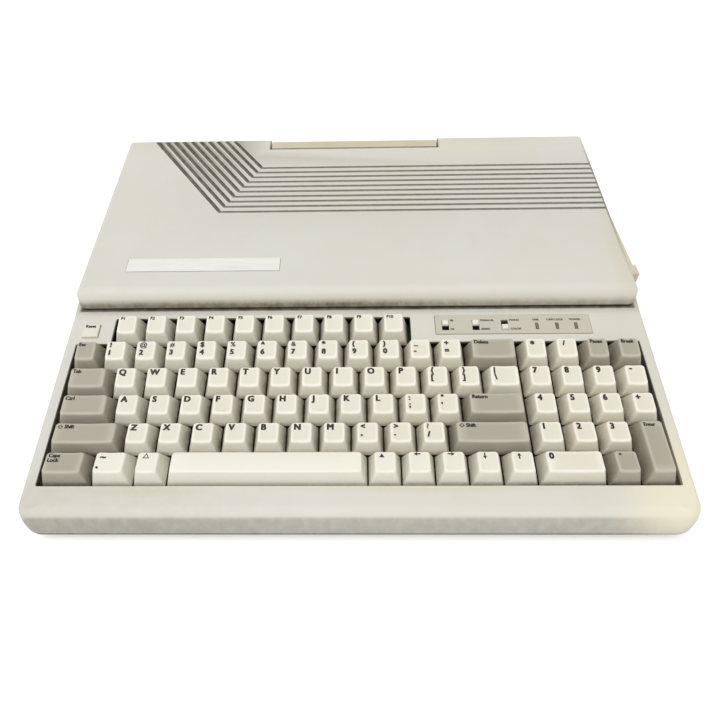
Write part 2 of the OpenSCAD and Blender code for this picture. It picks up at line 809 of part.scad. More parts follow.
module handle() {
    half = pocket_w / 2 - fit_gap * 3;
    color("#cbbf9f")
        in_case() {
            // Grip bar, its top flush with the hood
            along_x(2 * half)
                polygon([[grip_y0, grip_top_z - grip_h], [grip_y1, grip_top_z - grip_h],
                    [grip_y1, hood_z(grip_y1) - 0.4], [grip_y0, hood_z(grip_y0) - 0.4]]);
            for (s = [-1, 1]) {
                x0 = s > 0 ? half - arm_w : -half;
                box([x0, pivot_y - arm_r, pivot_z], [x0 + arm_w, pivot_y + arm_r, grip_top_z - grip_h + 1]);
                translate([x0, pivot_y, pivot_z]) rotate([0, 90, 0]) cylinder(r = arm_r, h = arm_w);
                translate([s > 0 ? half - 1 : -half - stud_l + fit_gap * 2, pivot_y, pivot_z])
                    rotate([0, 90, 0])
                        cylinder(r = stud_r, h = stud_l + 1 - fit_gap * 2);
            }
        }
}

// ---------- keyboard ----------

// Frustum of a key: skirt half sizes shrink to the top, all shrunk by t
module frustum(k, t) {
    cell_w = k[2] * pitch;
    cell_d = k[3] * pitch;
    row = k[1] - 1;
    half = cell_w / 2;
    back = cell_d - (pitch - cap_front - cap_top);
    // The sides lean in evenly and are cut_w high before the sloped top cuts them
    cut_w = 14;
    lean = (cap_inset - key_gap / 2) / (cap_mid(k) - skirt_w);
    high = half - key_gap / 2 - lean * (cut_w - skirt_w);
    intersection() {
        along_y(0, cell_d)
            polygon([[-(half - key_gap / 2 - t), skirt_w], [half - key_gap / 2 - t, skirt_w],
                [high - t, cut_w], [-(high - t), cut_w]]);
        along_x(cell_w)
            polygon([[key_gap / 2 + t, skirt_w], [cap_front + t, cap_front_w[row] - t],
                [back - t, cap_back_w[row] - t], [cell_d - key_gap / 2 - t, skirt_w]]);
    }
}

module key(k) {
    on_slope(key_u(k), row_v(k[1]), 0) {
        difference() {
            frustum(k, 0);
            frustum_hollow(k);
        }
        for (x = stems(k))
            translate([x, k[3] * pitch / 2, 0]) post(stem, stem, -stem_low, cap_mid(k) - cap_wall / 2);
    }
}

// The hollow reaches past the skirt, so that the cap is open below
module frustum_hollow(k) {
    translate([0, 0, -eps]) frustum(k, cap_wall);
}

module keys(list) {
    for (k = list) key(k);
}

// The square well that a stem slides in, and its housing
module switch_at(u, v) {
    on_slope(u, v, 0)
        difference() {
            union() {
                post(switch_w, switch_w, -kb_board_drop, -switch_top);
                post(shoulder_w, shoulder_w, -kb_board_drop, -plate_drop - plate_t);
            }
            post(stem + 2 * fit_gap, stem + 2 * fit_gap, -well_low, 0);
        }
}

module key_switches() {
    color("#2e2e30") {
        for (k = ALL_KEYS, x = stems(k)) switch_at(key_u(k) + x, key_v(k));
        switch_at(reset_stem_u, reset_v);
    }
}

// Outline of the plate and board, with the corner under the control panel cut out where asked
module kb_sheet(low, high, cut) {
    difference() {
        on_slope(0)
            box([kb_w / 2 - kb_board_half, kb_board_v[0], low],
                [kb_w / 2 + kb_board_half, kb_board_v[1], high]);
        if (cut)
            on_slope(0)
                box([(fn_start + 10) * pitch + 1, row_v(1), low - 1], [kb_w + 10, kb_board_v[1] + 1, high + 1]);
    }
}

module keyboard_plate() {
    w = switch_w + 2 * run_gap;
    color("#9a9c9e")
        difference() {
            kb_sheet(-plate_drop - plate_t, -plate_drop, true);
            for (k = ALL_KEYS, x = stems(k))
                on_slope(key_u(k) + x, key_v(k), 0) post(w, w, -plate_drop - plate_t - 1, 0);
            on_slope(reset_stem_u, reset_v, 0) post(w, w, -plate_drop - plate_t - 1, 0);
        }
}

module keyboard_board() {
    color("#3c6b48") kb_sheet(-kb_board_drop - board_t, -kb_board_drop, false);
}

module reset_button() {
    color("#ddd8c8")
        union() {
            on_slope(reset_u, reset_v, 0) post(reset_side, reset_side, 0, deck_w + reset_proud);
            on_slope(reset_stem_u, reset_v, 0) post(stem, stem, -stem_low, 1);
        }
}

module slide_knob(s) {
    v = slide_low_v + (s[1] == 1 ? slide_travel : 0);
    color("#e6e3da")
        on_slope(0)
            at_panel()
                translate([s[0], v, 0])
                    post(knob_side, knob_side, -slide_body_top - 3, deck_w + 1.2);
}

module column_switch() {
    slide_knob(SLIDES[0]);
}

module printer_switch() {
    slide_knob(SLIDES[1]);
}

module display_switch() {
    slide_knob(SLIDES[2]);
}

module slide_switch_bodies() {
    w = knob_side + 2 * fit_gap;
    color("#a9abad")
        on_slope(0)
            at_panel()
                for (s = SLIDES)
                    difference() {
                        translate([s[0], slide_low_v + slide_travel / 2, 0])
                            post(slide_body_l, slide_body_v, -kb_board_drop, -slide_body_top);
                        translate([s[0] - w / 2, slide_low_v - w / 2, -slide_body_top - 3 - fit_gap])
                            cube([w, slot_len, 10]);
                    }
}

module indicator_lenses() {
    color("#7c1d16")
        on_slope(0)
            at_panel()
                for (x = LAMPS)
                    translate([x, lamp_v, 0]) post(lens_w, lens_l, -kb_board_drop, deck_w + 0.1);
}

// ---------- disk drive ----------

module drive_bezel() {
    y0 = bezel_y - bezel_l / 2;
    y1 = bezel_y + bezel_l / 2;
    z1 = bezel_low_z + bezel_h;
    color("#cdc8b8")
        in_case()
            difference() {
                union() {
                    box([bezel_back, y0, bezel_low_z], [bezel_face, y1, z1]);
                    box([bezel_back, y0, bezel_low_z + 4], [bezel_face + grip_out, y0 + grip_block_l, z1]);
                }
                // Disk slot
                box([bezel_back - 1, bezel_y - slot_l / 2, disk_z - slot_h / 2],
                    [bezel_face + 5, bezel_y + slot_l / 2, disk_z + slot_h / 2]);
                // Round recess in which the lever turns
                intersection() {
                    translate([bezel_face - lever_recess, bezel_y, lever_z])
                        rotate([0, 90, 0])
                            cylinder(r = lever_l + 2, h = lever_recess + 5);
                    box([bezel_back, bezel_y - lever_l - 3, bezel_low_z + 2],
                        [bezel_face + 6, bezel_y + lever_boss_r + 2, lever_z + lever_boss_r + 0.6]);
                }
                translate([bezel_back - 1, bezel_y, lever_z])
                    rotate([0, 90, 0])
                        cylinder(r = lever_shaft_r + run_gap, h = bezel_t + 2);
            }
}

// The lever lies along the slot when open and stands across it when turned
module drive_lever() {
    x0 = bezel_face - lever_recess + fit_gap;
    x1 = bezel_face + grip_out - 0.2;
    color("#4a4844")
        in_case() {
            translate([x0, bezel_y, lever_z]) rotate([0, 90, 0]) cylinder(r = lever_boss_r, h = x1 - x0);
            box([x0, bezel_y - lever_l, lever_z - 3.5], [x1, bezel_y, lever_z + 3.5]);
            translate([chassis_x1 - 16, bezel_y, lever_z])
                rotate([0, 90, 0])
                    cylinder(r = lever_shaft_r, h = x0 - chassis_x1 + 17);
        }
}

module drive_chassis() {
    y0 = bezel_y - chassis_w / 2;
    y1 = bezel_y + chassis_w / 2;
    t = chassis_t;
    color("#b3b5b6")
        in_case()
            difference() {
                union() {
                    box([chassis_x0, y0, chassis_low_z], [chassis_x1, y1, chassis_low_z + t]);
                    box([chassis_x0, y0, chassis_low_z], [chassis_x1, y0 + t, chassis_z]);
                    box([chassis_x0, y1 - t, chassis_low_z], [chassis_x1, y1, chassis_z]);
                    // Bridge that carries the clamp
                    box([spindle_x - bridge_w / 2, y0, bridge_z], [spindle_x + bridge_w / 2, y1, bridge_z + bridge_t]);
                    // Bearing of the spindle
                    translate([spindle_x, bezel_y, chassis_low_z]) cylinder(r = 8, h = 10);
                    // Brackets of the rails
                    for (x = [chassis_x0, rail_x1 - bracket_t], s = [-1, 1])
                        box([x, bezel_y + s * rail_off - 6, chassis_low_z],
                            [x + bracket_t, bezel_y + s * rail_off + 6, rail_z + 6]);
                }
                translate([spindle_x, bezel_y, chassis_low_z - 1]) cylinder(r = spindle_r + run_gap, h = 20);
                translate([spindle_x, bezel_y, bridge_z - 1]) cylinder(r = clamp_shaft_r + run_gap, h = 10);
                for (s = [-1, 1])
                    translate([chassis_x0 - 1, bezel_y + s * rail_off, rail_z])
                        rotate([0, 90, 0])
                            cylinder(r = rail_r + run_gap / 2, h = rail_x1 - chassis_x0 + 2);
            }
}

module spindle_hub() {
    color("#d9dadb")
        in_case()
            translate([spindle_x, bezel_y, 0]) {
                translate([0, 0, chassis_low_z + fit_gap]) cylinder(r = spindle_r, h = 12);
                translate([0, 0, chassis_low_z + 10 + fit_gap])
                    cylinder(r = hub_r, h = disk_z - 1.2 - chassis_low_z - 10 - fit_gap);
            }
}

module hub_clamp() {
    low = disk_z + 2;
    color("#6d7072")
        in_case()
            translate([spindle_x, bezel_y, 0]) {
                translate([0, 0, low]) cylinder(r = hub_r - 2, h = 6);
                translate([0, 0, low + 5]) cylinder(r = clamp_shaft_r, h = bridge_z + bridge_t - low - 5 + clamp_travel);
            }
}

module carriage_rails() {
    color("#dcdddd")
        in_case()
            for (s = [-1, 1])
                translate([chassis_x0 + 0.5, bezel_y + s * rail_off, rail_z])
                    rotate([0, 90, 0])
                        cylinder(r = rail_r, h = rail_x1 - chassis_x0 - 1);
}

module head_carriage() {
    x1 = carriage_x0 + carriage_l;
    color("#3f4345")
        in_case()
            difference() {
                union() {
                    box([carriage_x0, bezel_y - carriage_half, rail_z - 6],
                        [x1, bezel_y + carriage_half, rail_z + 6]);
                    box([carriage_x0, bezel_y - 6, rail_z], [carriage_x0 + 6, bezel_y + 6, disk_z + 8]);
                    box([carriage_x0, bezel_y - 6, disk_z + 4], [x1, bezel_y + 6, disk_z + 8]);
                }
                for (s = [-1, 1])
                    translate([carriage_x0 - 1, bezel_y + s * rail_off, rail_z])
                        rotate([0, 90, 0])
                            cylinder(r = rail_r + run_gap, h = carriage_l + 2);
            }
}

module stepper_motor() {
    side = 32;
    low = chassis_low_z + chassis_t;
    x = chassis_x0 + 24;
    y = bezel_y + chassis_w / 2 - chassis_t - side / 2 - 1;
    color("#56585a")
        in_case()
            translate([x, y, 0]) {
                post(side, side, low, low + 2);
                translate([0, 0, low + 1]) cylinder(r = side / 2 - 1, h = 18);
                translate([0, 0, low + 18]) cylinder(r = 2.5, h = 8);
            }
}

// ---------- electronics ----------

module main_board() {
    color("#2f6b3f")
        in_case()
            box([MAIN_X[0], MAIN_Y[0], main_board_z], [MAIN_X[1], MAIN_Y[1], main_board_top]);
}

module board_parts() {
    color("#26272a")
        in_case() {
            for (c = CHIPS)
                translate([c[0], c[1], 0]) post(c[2], c[3], main_board_top, main_board_top + c[4]);
            // Control under the volume wheel
            translate([wheel_x, wheel_y, 0]) {
                post(pot_side, pot_side, main_board_top, wheel_z - 1);
                translate([0, 0, wheel_z - 1.5]) cylinder(r = wheel_pin_r, h = wheel_t + 1.5);
            }
        }
}

module socket(s) {
    half = s[1] / 2;
    z0 = main_board_top;
    z1 = z0 + s[2];
    mid = (z0 + z1) / 2;
    y1 = rear_y;
    difference() {
        box([s[0] - half, y1 - socket_l, z0], [s[0] + half, y1, z1]);
        if (s[3] == 0)
            translate([s[0], y1 + 1, mid]) rotate([90, 0, 0]) cylinder(r = socket_hole_r, h = socket_deep + 1);
        if (s[3] == 1)
            box([s[0] - half + recess_rim, y1 - socket_deep, mid - recess_h / 2],
                [s[0] + half - recess_rim, y1 + 1, mid + recess_h / 2]);
        if (s[3] == 2)
            difference() {
                translate([s[0], y1 + 1, mid]) rotate([90, 0, 0]) cylinder(r = phono_ring_r + 1.2, h = socket_deep + 1);
                translate([s[0], y1 + 1, mid]) rotate([90, 0, 0]) cylinder(r = phono_ring_r, h = socket_deep + 2);
            }
        if (s[3] == 2)
            translate([s[0], y1 + 1, mid]) rotate([90, 0, 0]) cylinder(r = phono_hole_r, h = socket_deep + 1);
    }
}

module rear_sockets() {
    f = rocker_frame;
    color("#2b2b2d")
        in_case() {
            for (s = SOCKETS) socket(s);
            // Frame and well of the power rocker
            translate([rocker_x, 0, rocker_z])
                difference() {
                    box([-rocker_w / 2 - f, rear_y - rocker_deep - 2, -rocker_h / 2 - f],
                        [rocker_w / 2 + f, rear_y, rocker_h / 2 + f]);
                    box([-rocker_w / 2 - fit_gap, rear_y - rocker_deep, -rocker_h / 2 - 1],
                        [rocker_w / 2 + fit_gap, rear_y + 1, rocker_h / 2 + 1]);
                    translate([-rocker_w / 2 - 1.5, rocker_y, 0])
                        rotate([0, 90, 0])
                            cylinder(r = rocker_pin_r + run_gap, h = rocker_w + 3);
                }
        }
}

module power_rocker() {
    h = rocker_h / 2 - 0.2;
    color("#1d1d1f")
        in_case()
            translate([0, rocker_y, rocker_z])
                rotate([rocker_tilt, 0, 0]) {
                    translate([rocker_x, 0, 0])
                        along_x(rocker_w)
                            polygon([[-2, -h + 0.4], [5.2, -h], [4.4, 0], [5.2, h], [-2, h - 0.4]]);
                    translate([rocker_x - rocker_w / 2 - 1.2, 0, 0])
                        rotate([0, 90, 0])
                            cylinder(r = rocker_pin_r, h = rocker_w + 2.4);
                }
}

module volume_wheel() {
    color("#2a2a2c")
        in_case()
            translate([wheel_x, wheel_y, wheel_z])
                difference() {
                    cylinder(r = wheel_r, h = wheel_t);
                    translate([0, 0, -1]) cylinder(r = wheel_pin_r + run_gap, h = wheel_t + 2);
                }
}

module speaker() {
    z0 = foot_h + floor_t;
    color("#303236")
        in_case()
            translate([speaker_x, speaker_y, z0])
                difference() {
                    cylinder(r = speaker_r, h = speaker_h);
                    translate([0, 0, speaker_h - 2])
                        difference() {
                            cylinder(r = speaker_r - speaker_ring, h = 3);
                            cylinder(r = speaker_r / 3, h = 3);
                        }
                }
}

// ---------- keys by node ----------

cream = "#e9e3d1";
dark = "#958f83";

module function_keys() {
    color(cream) keys(FUNCTION_ROW);
}

module digit_keys() {
    color(cream) keys(DIGIT_ROW);
}

module upper_letter_keys() {
    color(cream) keys(UPPER_ROW);
}

module home_letter_keys() {
    color(cream) keys(HOME_ROW);
}

module lower_letter_keys() {
    color(cream) keys(LOWER_ROW);
}

module keypad_upper_keys() {
    color(cream) keys(PAD_UPPER);
}

module keypad_lower_keys() {
    color(cream) keys(PAD_LOWER);
}

module escape_key() {
    color(dark) key(ESCAPE);
}

module delete_key() {
    color(dark) key(DELETE);
}

module pause_key() {
    color(dark) key(PAUSE);
}

module break_key() {
    color(dark) key(BREAK);
}

module tab_key() {
    color(dark) key(TAB);
}

module backslash_key() {
    color(cream) key(BACKSLASH);
}

module control_key() {
    color(dark) key(CONTROL);
}

module return_key() {
    color(dark) key(RETURN);
}

module left_shift_key() {
    color(dark) key(LEFT_SHIFT);
}

module right_shift_key() {
    color(dark) key(RIGHT_SHIFT);
}

module caps_lock_key() {
    color(dark) key(CAPS_LOCK);
}

module tilde_key() {
    color(cream) key(TILDE);
}

module open_triangle_key() {
    color(cream) key(OPEN_TRIANGLE);
}

module space_bar() {
    color(cream) key(SPACE);
}

module solid_triangle_key() {
    color(cream) key(SOLID_TRIANGLE);
}

module arrow_left_key() {
    color(cream) key(ARROW_LEFT);
}

module arrow_right_key() {
    color(cream) key(ARROW_RIGHT);
}

module arrow_down_key() {
    color(cream) key(ARROW_DOWN);
}

module arrow_up_key() {
    color(cream) key(ARROW_UP);
}

module keypad_zero_key() {
    color(cream) key(PAD_ZERO);
}

module keypad_point_key() {
    color(dark) key(PAD_POINT);
}

module enter_key() {
    color(dark) key(ENTER);
}

bottom_case();
top_case();
badge_plate();
control_panel();
expansion_cover();
rubber_feet();
case_screws();
handle();
reset_button();
column_switch();
printer_switch();
display_switch();
slide_switch_bodies();
indicator_lenses();
power_rocker();
rear_sockets();
volume_wheel();
speaker();
drive_chassis();
drive_bezel();
drive_lever();
spindle_hub();
hub_clamp();
head_carriage();
carriage_rails();
stepper_motor();
main_board();
board_parts();
keyboard_plate();
key_switches();
keyboard_board();
function_keys();
digit_keys();
upper_letter_keys();
home_letter_keys();
lower_letter_keys();
keypad_upper_keys();
keypad_lower_keys();
escape_key();
delete_key();
pause_key();
break_key();
tab_key();
backslash_key();
control_key();
return_key();
left_shift_key();
right_shift_key();
caps_lock_key();
tilde_key();
open_triangle_key();
space_bar();
solid_triangle_key();
arrow_left_key();
arrow_right_key();
arrow_down_key();
arrow_up_key();
keypad_zero_key();
keypad_point_key();
enter_key();
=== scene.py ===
# %% [markdown]
# # A home computer of the eighties
# The real machine is a wedge of beige plastic: a sloping deck with ninety keys, and behind it a
# flat hood with a fan of grooves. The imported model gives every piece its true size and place.
# This lesson dresses it: smooth mouldings, dished keys with their legends, and aged plastic.

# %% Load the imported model
from math import copysign, cos, dist, hypot, pi, radians, sin, tan

import bmesh
import bpy
from mathutils import Matrix, Vector


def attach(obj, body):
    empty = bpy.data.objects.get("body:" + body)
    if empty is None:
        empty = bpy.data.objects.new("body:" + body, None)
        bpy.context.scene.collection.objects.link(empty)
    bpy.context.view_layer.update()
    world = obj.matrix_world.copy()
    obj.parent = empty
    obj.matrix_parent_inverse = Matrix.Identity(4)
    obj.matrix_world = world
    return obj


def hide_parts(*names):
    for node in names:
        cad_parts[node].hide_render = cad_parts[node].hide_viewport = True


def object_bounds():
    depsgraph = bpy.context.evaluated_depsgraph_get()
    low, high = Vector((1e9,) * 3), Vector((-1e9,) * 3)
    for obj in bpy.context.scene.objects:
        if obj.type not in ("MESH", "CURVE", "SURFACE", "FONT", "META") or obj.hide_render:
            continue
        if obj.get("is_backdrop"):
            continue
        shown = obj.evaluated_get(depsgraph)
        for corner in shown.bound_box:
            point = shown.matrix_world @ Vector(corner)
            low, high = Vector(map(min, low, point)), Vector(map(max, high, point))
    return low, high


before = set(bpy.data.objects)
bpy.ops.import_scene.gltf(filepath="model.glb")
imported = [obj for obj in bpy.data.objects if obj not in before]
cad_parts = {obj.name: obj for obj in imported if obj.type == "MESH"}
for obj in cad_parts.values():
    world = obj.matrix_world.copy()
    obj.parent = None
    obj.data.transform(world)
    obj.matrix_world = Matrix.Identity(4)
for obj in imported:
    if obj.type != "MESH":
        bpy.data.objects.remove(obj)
cad_low, cad_high = [list(corner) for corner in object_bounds()]
MM = 0.001

# %% [markdown]
# ## Sizes
# All shapes are worked out in millimetres and turned into metres when a mesh is made. The deck and
# the hood are two slopes, so two small functions give their heights. The drive stands proud of the
# right side, which is why the case itself sits a little to the left of the middle.

# %% Sizes of the case, in millimetres
SHIFT = -1.75
HALF_W, FRONT_Y, REAR_Y = 188.0, -159.0, 159.0
SEAM_Z, WALL = 10.0, 2.6
FRONT_Z, HOOD_STEP = 21.3, 13
FOOT_Z, UNDERCUT = 3.0, 4
FRONT_CORNER, REAR_CORNER, HOOD_CORNER = 13, 4, 5.5
HOOD_HALF, HOOD_Y = 185.0, -13.0
DECK_TILT, HOOD_TILT = radians(8), radians(4.6)


def deck_z(y):
    return FRONT_Z + (y - FRONT_Y) * tan(DECK_TILT)


LEDGE_Z = deck_z(HOOD_Y)
HOOD_LOW = LEDGE_Z + 1.3


def hood_z(y):
    return LEDGE_Z + HOOD_STEP + (y - HOOD_Y) * tan(HOOD_TILT)


POCKET_Y, POCKET_HALF, POCKET_Z = REAR_Y - 14.4, 67.0, 52.6
print("deck at the hood: %.1f mm, hood's rear edge: %.1f mm" % (LEDGE_Z, hood_z(REAR_Y)))

# %% [markdown]
# ### The keyboard's own axes
# Keys stand square to the sloping deck, so they are easiest to place in its own axes: u runs to the
# right, v up the slope and w out of it. A key's pitch is the same on every such keyboard.

# %% Sizes of the keyboard
PITCH = 19.05
KEYS_W = 18.75 * PITCH
DECK_W = 2.0
KEYS_Y = FRONT_Y + 23
KEYS_Z = deck_z(KEYS_Y - DECK_W * sin(DECK_TILT)) - DECK_W * cos(DECK_TILT)


def on_slope(u, v, w):
    c, s = cos(DECK_TILT), sin(DECK_TILT)
    return (u - KEYS_W / 2, KEYS_Y + v * c - w * s, KEYS_Z + v * s + w * c)


print("keyboard width: %.1f mm" % KEYS_W)

# %% [markdown]
# ## Shader arithmetic
# A mask is a sum or product of many small nodes, and wiring each by hand hides what it means. So a
# node's output is wrapped as a signal: + - * work on it as on a number, | takes the larger of two
# masks, and step and band cut a mask out of a coordinate. Each of them adds one node or two.

# %% Helpers: nodes and signals


def feed(tree, socket, value):
    """Links a signal or another node's output to the socket, or sets a plain value."""
    if isinstance(value, (Signal, bpy.types.NodeSocket)):
        tree.links.new(getattr(value, "socket", value), socket)
    else:
        socket.default_value = value


def add(tree, kind, inputs=None, **settings):
    """Adds a node in the next free place, makes its settings and feeds its inputs."""
    column, row = divmod(len(tree.nodes), 8)
    node = tree.nodes.new(kind)
    node.location = (200 * column - 3200, -260 * row)
    for name, value in settings.items():
        setattr(node, name, value)
    for name, value in (inputs or {}).items():
        feed(tree, node.inputs[name], value)
    return node


class Signal:
    """A value that changes over the surface."""

    def __init__(self, tree, socket):
        self.tree, self.socket = tree, socket

    def maths(self, operation, first, second=0.0):
        node = add(self.tree, "ShaderNodeMath", {0: first, 1: second}, operation=operation)
        return Signal(self.tree, node.outputs[0])

    def __add__(self, other):
        return self.maths("ADD", self, other)

    def __sub__(self, other):
        return self.maths("SUBTRACT", self, other)

    def __rsub__(self, other):
        return self.maths("SUBTRACT", other, self)

    def __mul__(self, other):
        return self.maths("MULTIPLY", self, other)

    def __or__(self, other):
        return self.maths("MAXIMUM", self, other)

    def __abs__(self):
        return self.maths("ABSOLUTE", self)

    def at_most(self, limit):
        return self.maths("MINIMUM", self, limit)

    def step(self, low, high):
        """A smooth step from 0 at low to 1 at high; it also falls when low is the larger."""
        zero, one = (1.0, 0.0) if low > high else (0.0, 1.0)
        node = add(self.tree, "ShaderNodeMapRange", {
            "Value": self, "From Min": min(low, high), "From Max": max(low, high),
            "To Min": zero, "To Max": one}, interpolation_type="SMOOTHSTEP")
        return Signal(self.tree, node.outputs[0])

    def band(self, rise, full, fall, gone):
        """1 between full and fall, with soft ends at rise and gone."""
        return self.step(rise, full) * self.step(gone, fall)


print("signals ready")

# %% [markdown]
# ### Noise, places and mixes
# Three more nodes are needed again and again: noise for whatever is uneven, arithmetic on places,
# and a mix of two colours. Each gets a short function, so that a material reads like its recipe.

# %% Helpers: noise, places and mixes


def noise(tree, position, scale, detail=3.0, rough=0.5):
    """Noise from 0 to 1; scale says how many blots lie along a metre."""
    node = add(tree, "ShaderNodeTexNoise", {"Vector": position, "Scale": scale, "Detail": detail,
                                            "Roughness": rough})
    return Signal(tree, node.outputs["Fac"])


def vector_maths(tree, operation, first, second=(0, 0, 0)):
    return add(tree, "ShaderNodeVectorMath", {0: first, 1: second}, operation=operation)


def blend_colours(tree, share, first, second):
    """Mixes two colours; each is an RGBA tuple or another node's output."""
    node = add(tree, "ShaderNodeMix", {0: share, 6: first, 7: second}, data_type="RGBA")
    return Signal(tree, node.outputs[2])


print("node helpers ready")

# %% [markdown]
# ## Shader groups
# Old moulded plastic shows the same few effects everywhere: a fine grain, a slow drift of tone,
# patches that have yellowed, and dirt where fingers and dusters don't reach, laid by the same group
# as the painted shade of recesses and gaps. Each effect is one node group with its own inputs, so
# that every material can place it with its own values.

# %% Helpers for groups


def new_group(name, output, **inputs):
    """A group with one output: its tree, its inputs as signals, and the output's socket."""
    tree = bpy.data.node_groups.new(name, "ShaderNodeTree")
    for label, value in {"Position": None, **inputs}.items():
        kind = "NodeSocketFloat" if isinstance(value, float) else "NodeSocketVector"
        if value and kind == "NodeSocketVector" and len(value) == 4:
            kind = "NodeSocketColor"
        socket = tree.interface.new_socket(name=label, in_out="INPUT", socket_type=kind)
        if value is not None:
            socket.default_value = value
    kind = "NodeSocketColor" if output == "Color" else "NodeSocketFloat"
    tree.interface.new_socket(name=output, in_out="OUTPUT", socket_type=kind)
    given = {socket.name: Signal(tree, socket) for socket in add(tree, "NodeGroupInput").outputs}
    return tree, given, add(tree, "NodeGroupOutput").inputs[0]


def effect(tree, group, position, **inputs):
    """Places a group in a material and returns what it puts out."""
    node = add(tree, "ShaderNodeGroup", {"Position": position, **inputs}, node_tree=group)
    return Signal(tree, node.outputs[0])


# the third colour is the default darker tone of dirt and painted shade
BEIGE, OLD_BEIGE, DIRT_AND_SHADE = (0.7, 0.68, 0.6, 1), (0.7, 0.62, 0.45, 1), (0.16, 0.13, 0.08, 1)
print("group helpers ready")

# %% [markdown]
# ### Moulded grain
# The tool that pressed these shells was etched, so the plastic has a fine pebbled skin. Real
# displacement would cost millions of faces, so noise feeds a bump instead: a tight layer for the
# pebbles and a wide one for the sink marks of thick walls.

# %% Group: moulded grain
grain_group, given, out = new_group("moulded_grain", "Height", Grain=2600.0, Waves=0.3)
pebbles = noise(grain_group, given["Position"], given["Grain"], 2.0)
sinks = noise(grain_group, given["Position"], 28.0, 1.0) * given["Waves"]
feed(grain_group, out, pebbles + sinks)
print("group", grain_group.name)

# %% [markdown]
# ### Aged tone
# Forty years of daylight turn this plastic yellow, but never evenly. One plain mix would look like
# paint, so slow noise chooses where, and a second, finer noise adds the faint blotches of handling.

# %% Group: aged tone
age_group, given, out = new_group("aged_tone", "Color", Color=BEIGE, Yellowed=OLD_BEIGE, Amount=0.3,
                                  Patch=0.0)
slow = noise(age_group, given["Position"], 9.0, 3.0, 0.6).step(0.38, 0.72)
blotches = noise(age_group, given["Position"], 70.0, 4.0, 0.65).step(0.45, 0.75)
share = ((slow + blotches * 0.35) * given["Amount"] + given["Patch"]).at_most(1.0)
feed(age_group, out, blend_colours(age_group, share, given["Color"], given["Yellowed"]))
print("group", age_group.name)

# %% [markdown]
# ### Dirt and painted shade
# Dirt gathers on the hood's nose and the deck, and shade is painted under the hood's lip, in the
# grooves and low on the keys; this group lays both as a darker tone. A mask says where it may lie,
# and noise breaks its edge, so that it never looks painted on with a ruler.

# %% Group: dirt and painted shade
dirt_and_shade_group, given, out = new_group("dirt_and_painted_shade", "Color", Color=BEIGE, Grime=DIRT_AND_SHADE, Where=0.0,
                                    Strength=0.6, Breakup=0.6)
gaps = noise(dirt_and_shade_group, given["Position"], 160.0, 4.0, 0.7).step(0.75, 0.2)
share = given["Where"] * (1.0 - gaps * given["Breakup"]) * given["Strength"]
feed(dirt_and_shade_group, out, blend_colours(dirt_and_shade_group, share, given["Color"], given["Grime"]))
print("group", dirt_and_shade_group.name)

# %% [markdown]
# ### Spot mask
# A few stains have their own place, and so does a pale yellow painted highlight on the front right
# corner. A painted mask would need a dense mesh there. This group turns the distance from a point
# into a soft mask instead, stretched along each axis by the spot's own reach.

# %% Group: spot mask
spot_group, given, out = new_group("spot_mask", "Mask", Centre=(0, 0, 0), Reach=(0.05, 0.03, 0.05))
vector = given["Position"]
for operation, other in (("SUBTRACT", given["Centre"]), ("DIVIDE", given["Reach"])):
    vector = vector_maths(spot_group, operation, vector, other).outputs[0]
distance = vector_maths(spot_group, "LENGTH", vector).outputs["Value"]
feed(spot_group, out, Signal(spot_group, distance).step(1.0, 0.15))
print("group", spot_group.name)

# %% [markdown]
# ## Plastics
# All the beige and grey mouldings share one recipe: a colour that ages, dirt and painted shade by
# their own masks, a satin roughness that changes a little from place to place, and the grain as a
# bump. Only the values differ, so one function builds the material. Another lays a lighter tone over
# a finished material, for a spot of its own.

# %% Helpers for materials


def colour(screen):
    """Screen values from 0 to 255 as a linear colour."""
    shares = [c / 255 for c in screen]
    return (*(c / 12.92 if c <= 0.04045 else ((c + 0.055) / 1.055) ** 2.4 for c in shares), 1.0)


def new_material(name):
    """A new material, its tree, its shader, and the place of each point at rest in metres."""
    material = bpy.data.materials.new(name)
    material.use_nodes = True
    tree = material.node_tree
    place = add(tree, "ShaderNodeTexCoord").outputs["Object"]
    return material, tree, tree.nodes["Principled BSDF"], place


def finish(tree, shader, tone, rough, height, bump, distance):
    """Feeds a shader its colour, its roughness and a relief from a height."""
    relief = add(tree, "ShaderNodeBump", {"Strength": bump, "Distance": distance, "Height": height})
    feed(tree, shader.inputs["Base Color"], tone)
    feed(tree, shader.inputs["Roughness"], rough)
    feed(tree, shader.inputs["Normal"], relief.outputs["Normal"])


def lay_over(material, mask, tone):
    """Blends a tone over the colour of a finished material."""
    tree = material.node_tree
    base = tree.nodes["Principled BSDF"].inputs["Base Color"]
    feed(tree, base, blend_colours(tree, mask, base.links[0].from_socket, colour(tone)))


def attribute(tree, name):
    """A mask that a mesh carries on its points."""
    return Signal(tree, add(tree, "ShaderNodeAttribute", attribute_name=name).outputs["Fac"])


def axes(tree, position):
    """The three coordinates of a point at rest, in metres."""
    split = add(tree, "ShaderNodeSeparateXYZ", {0: position})
    return [Signal(tree, socket) for socket in split.outputs]


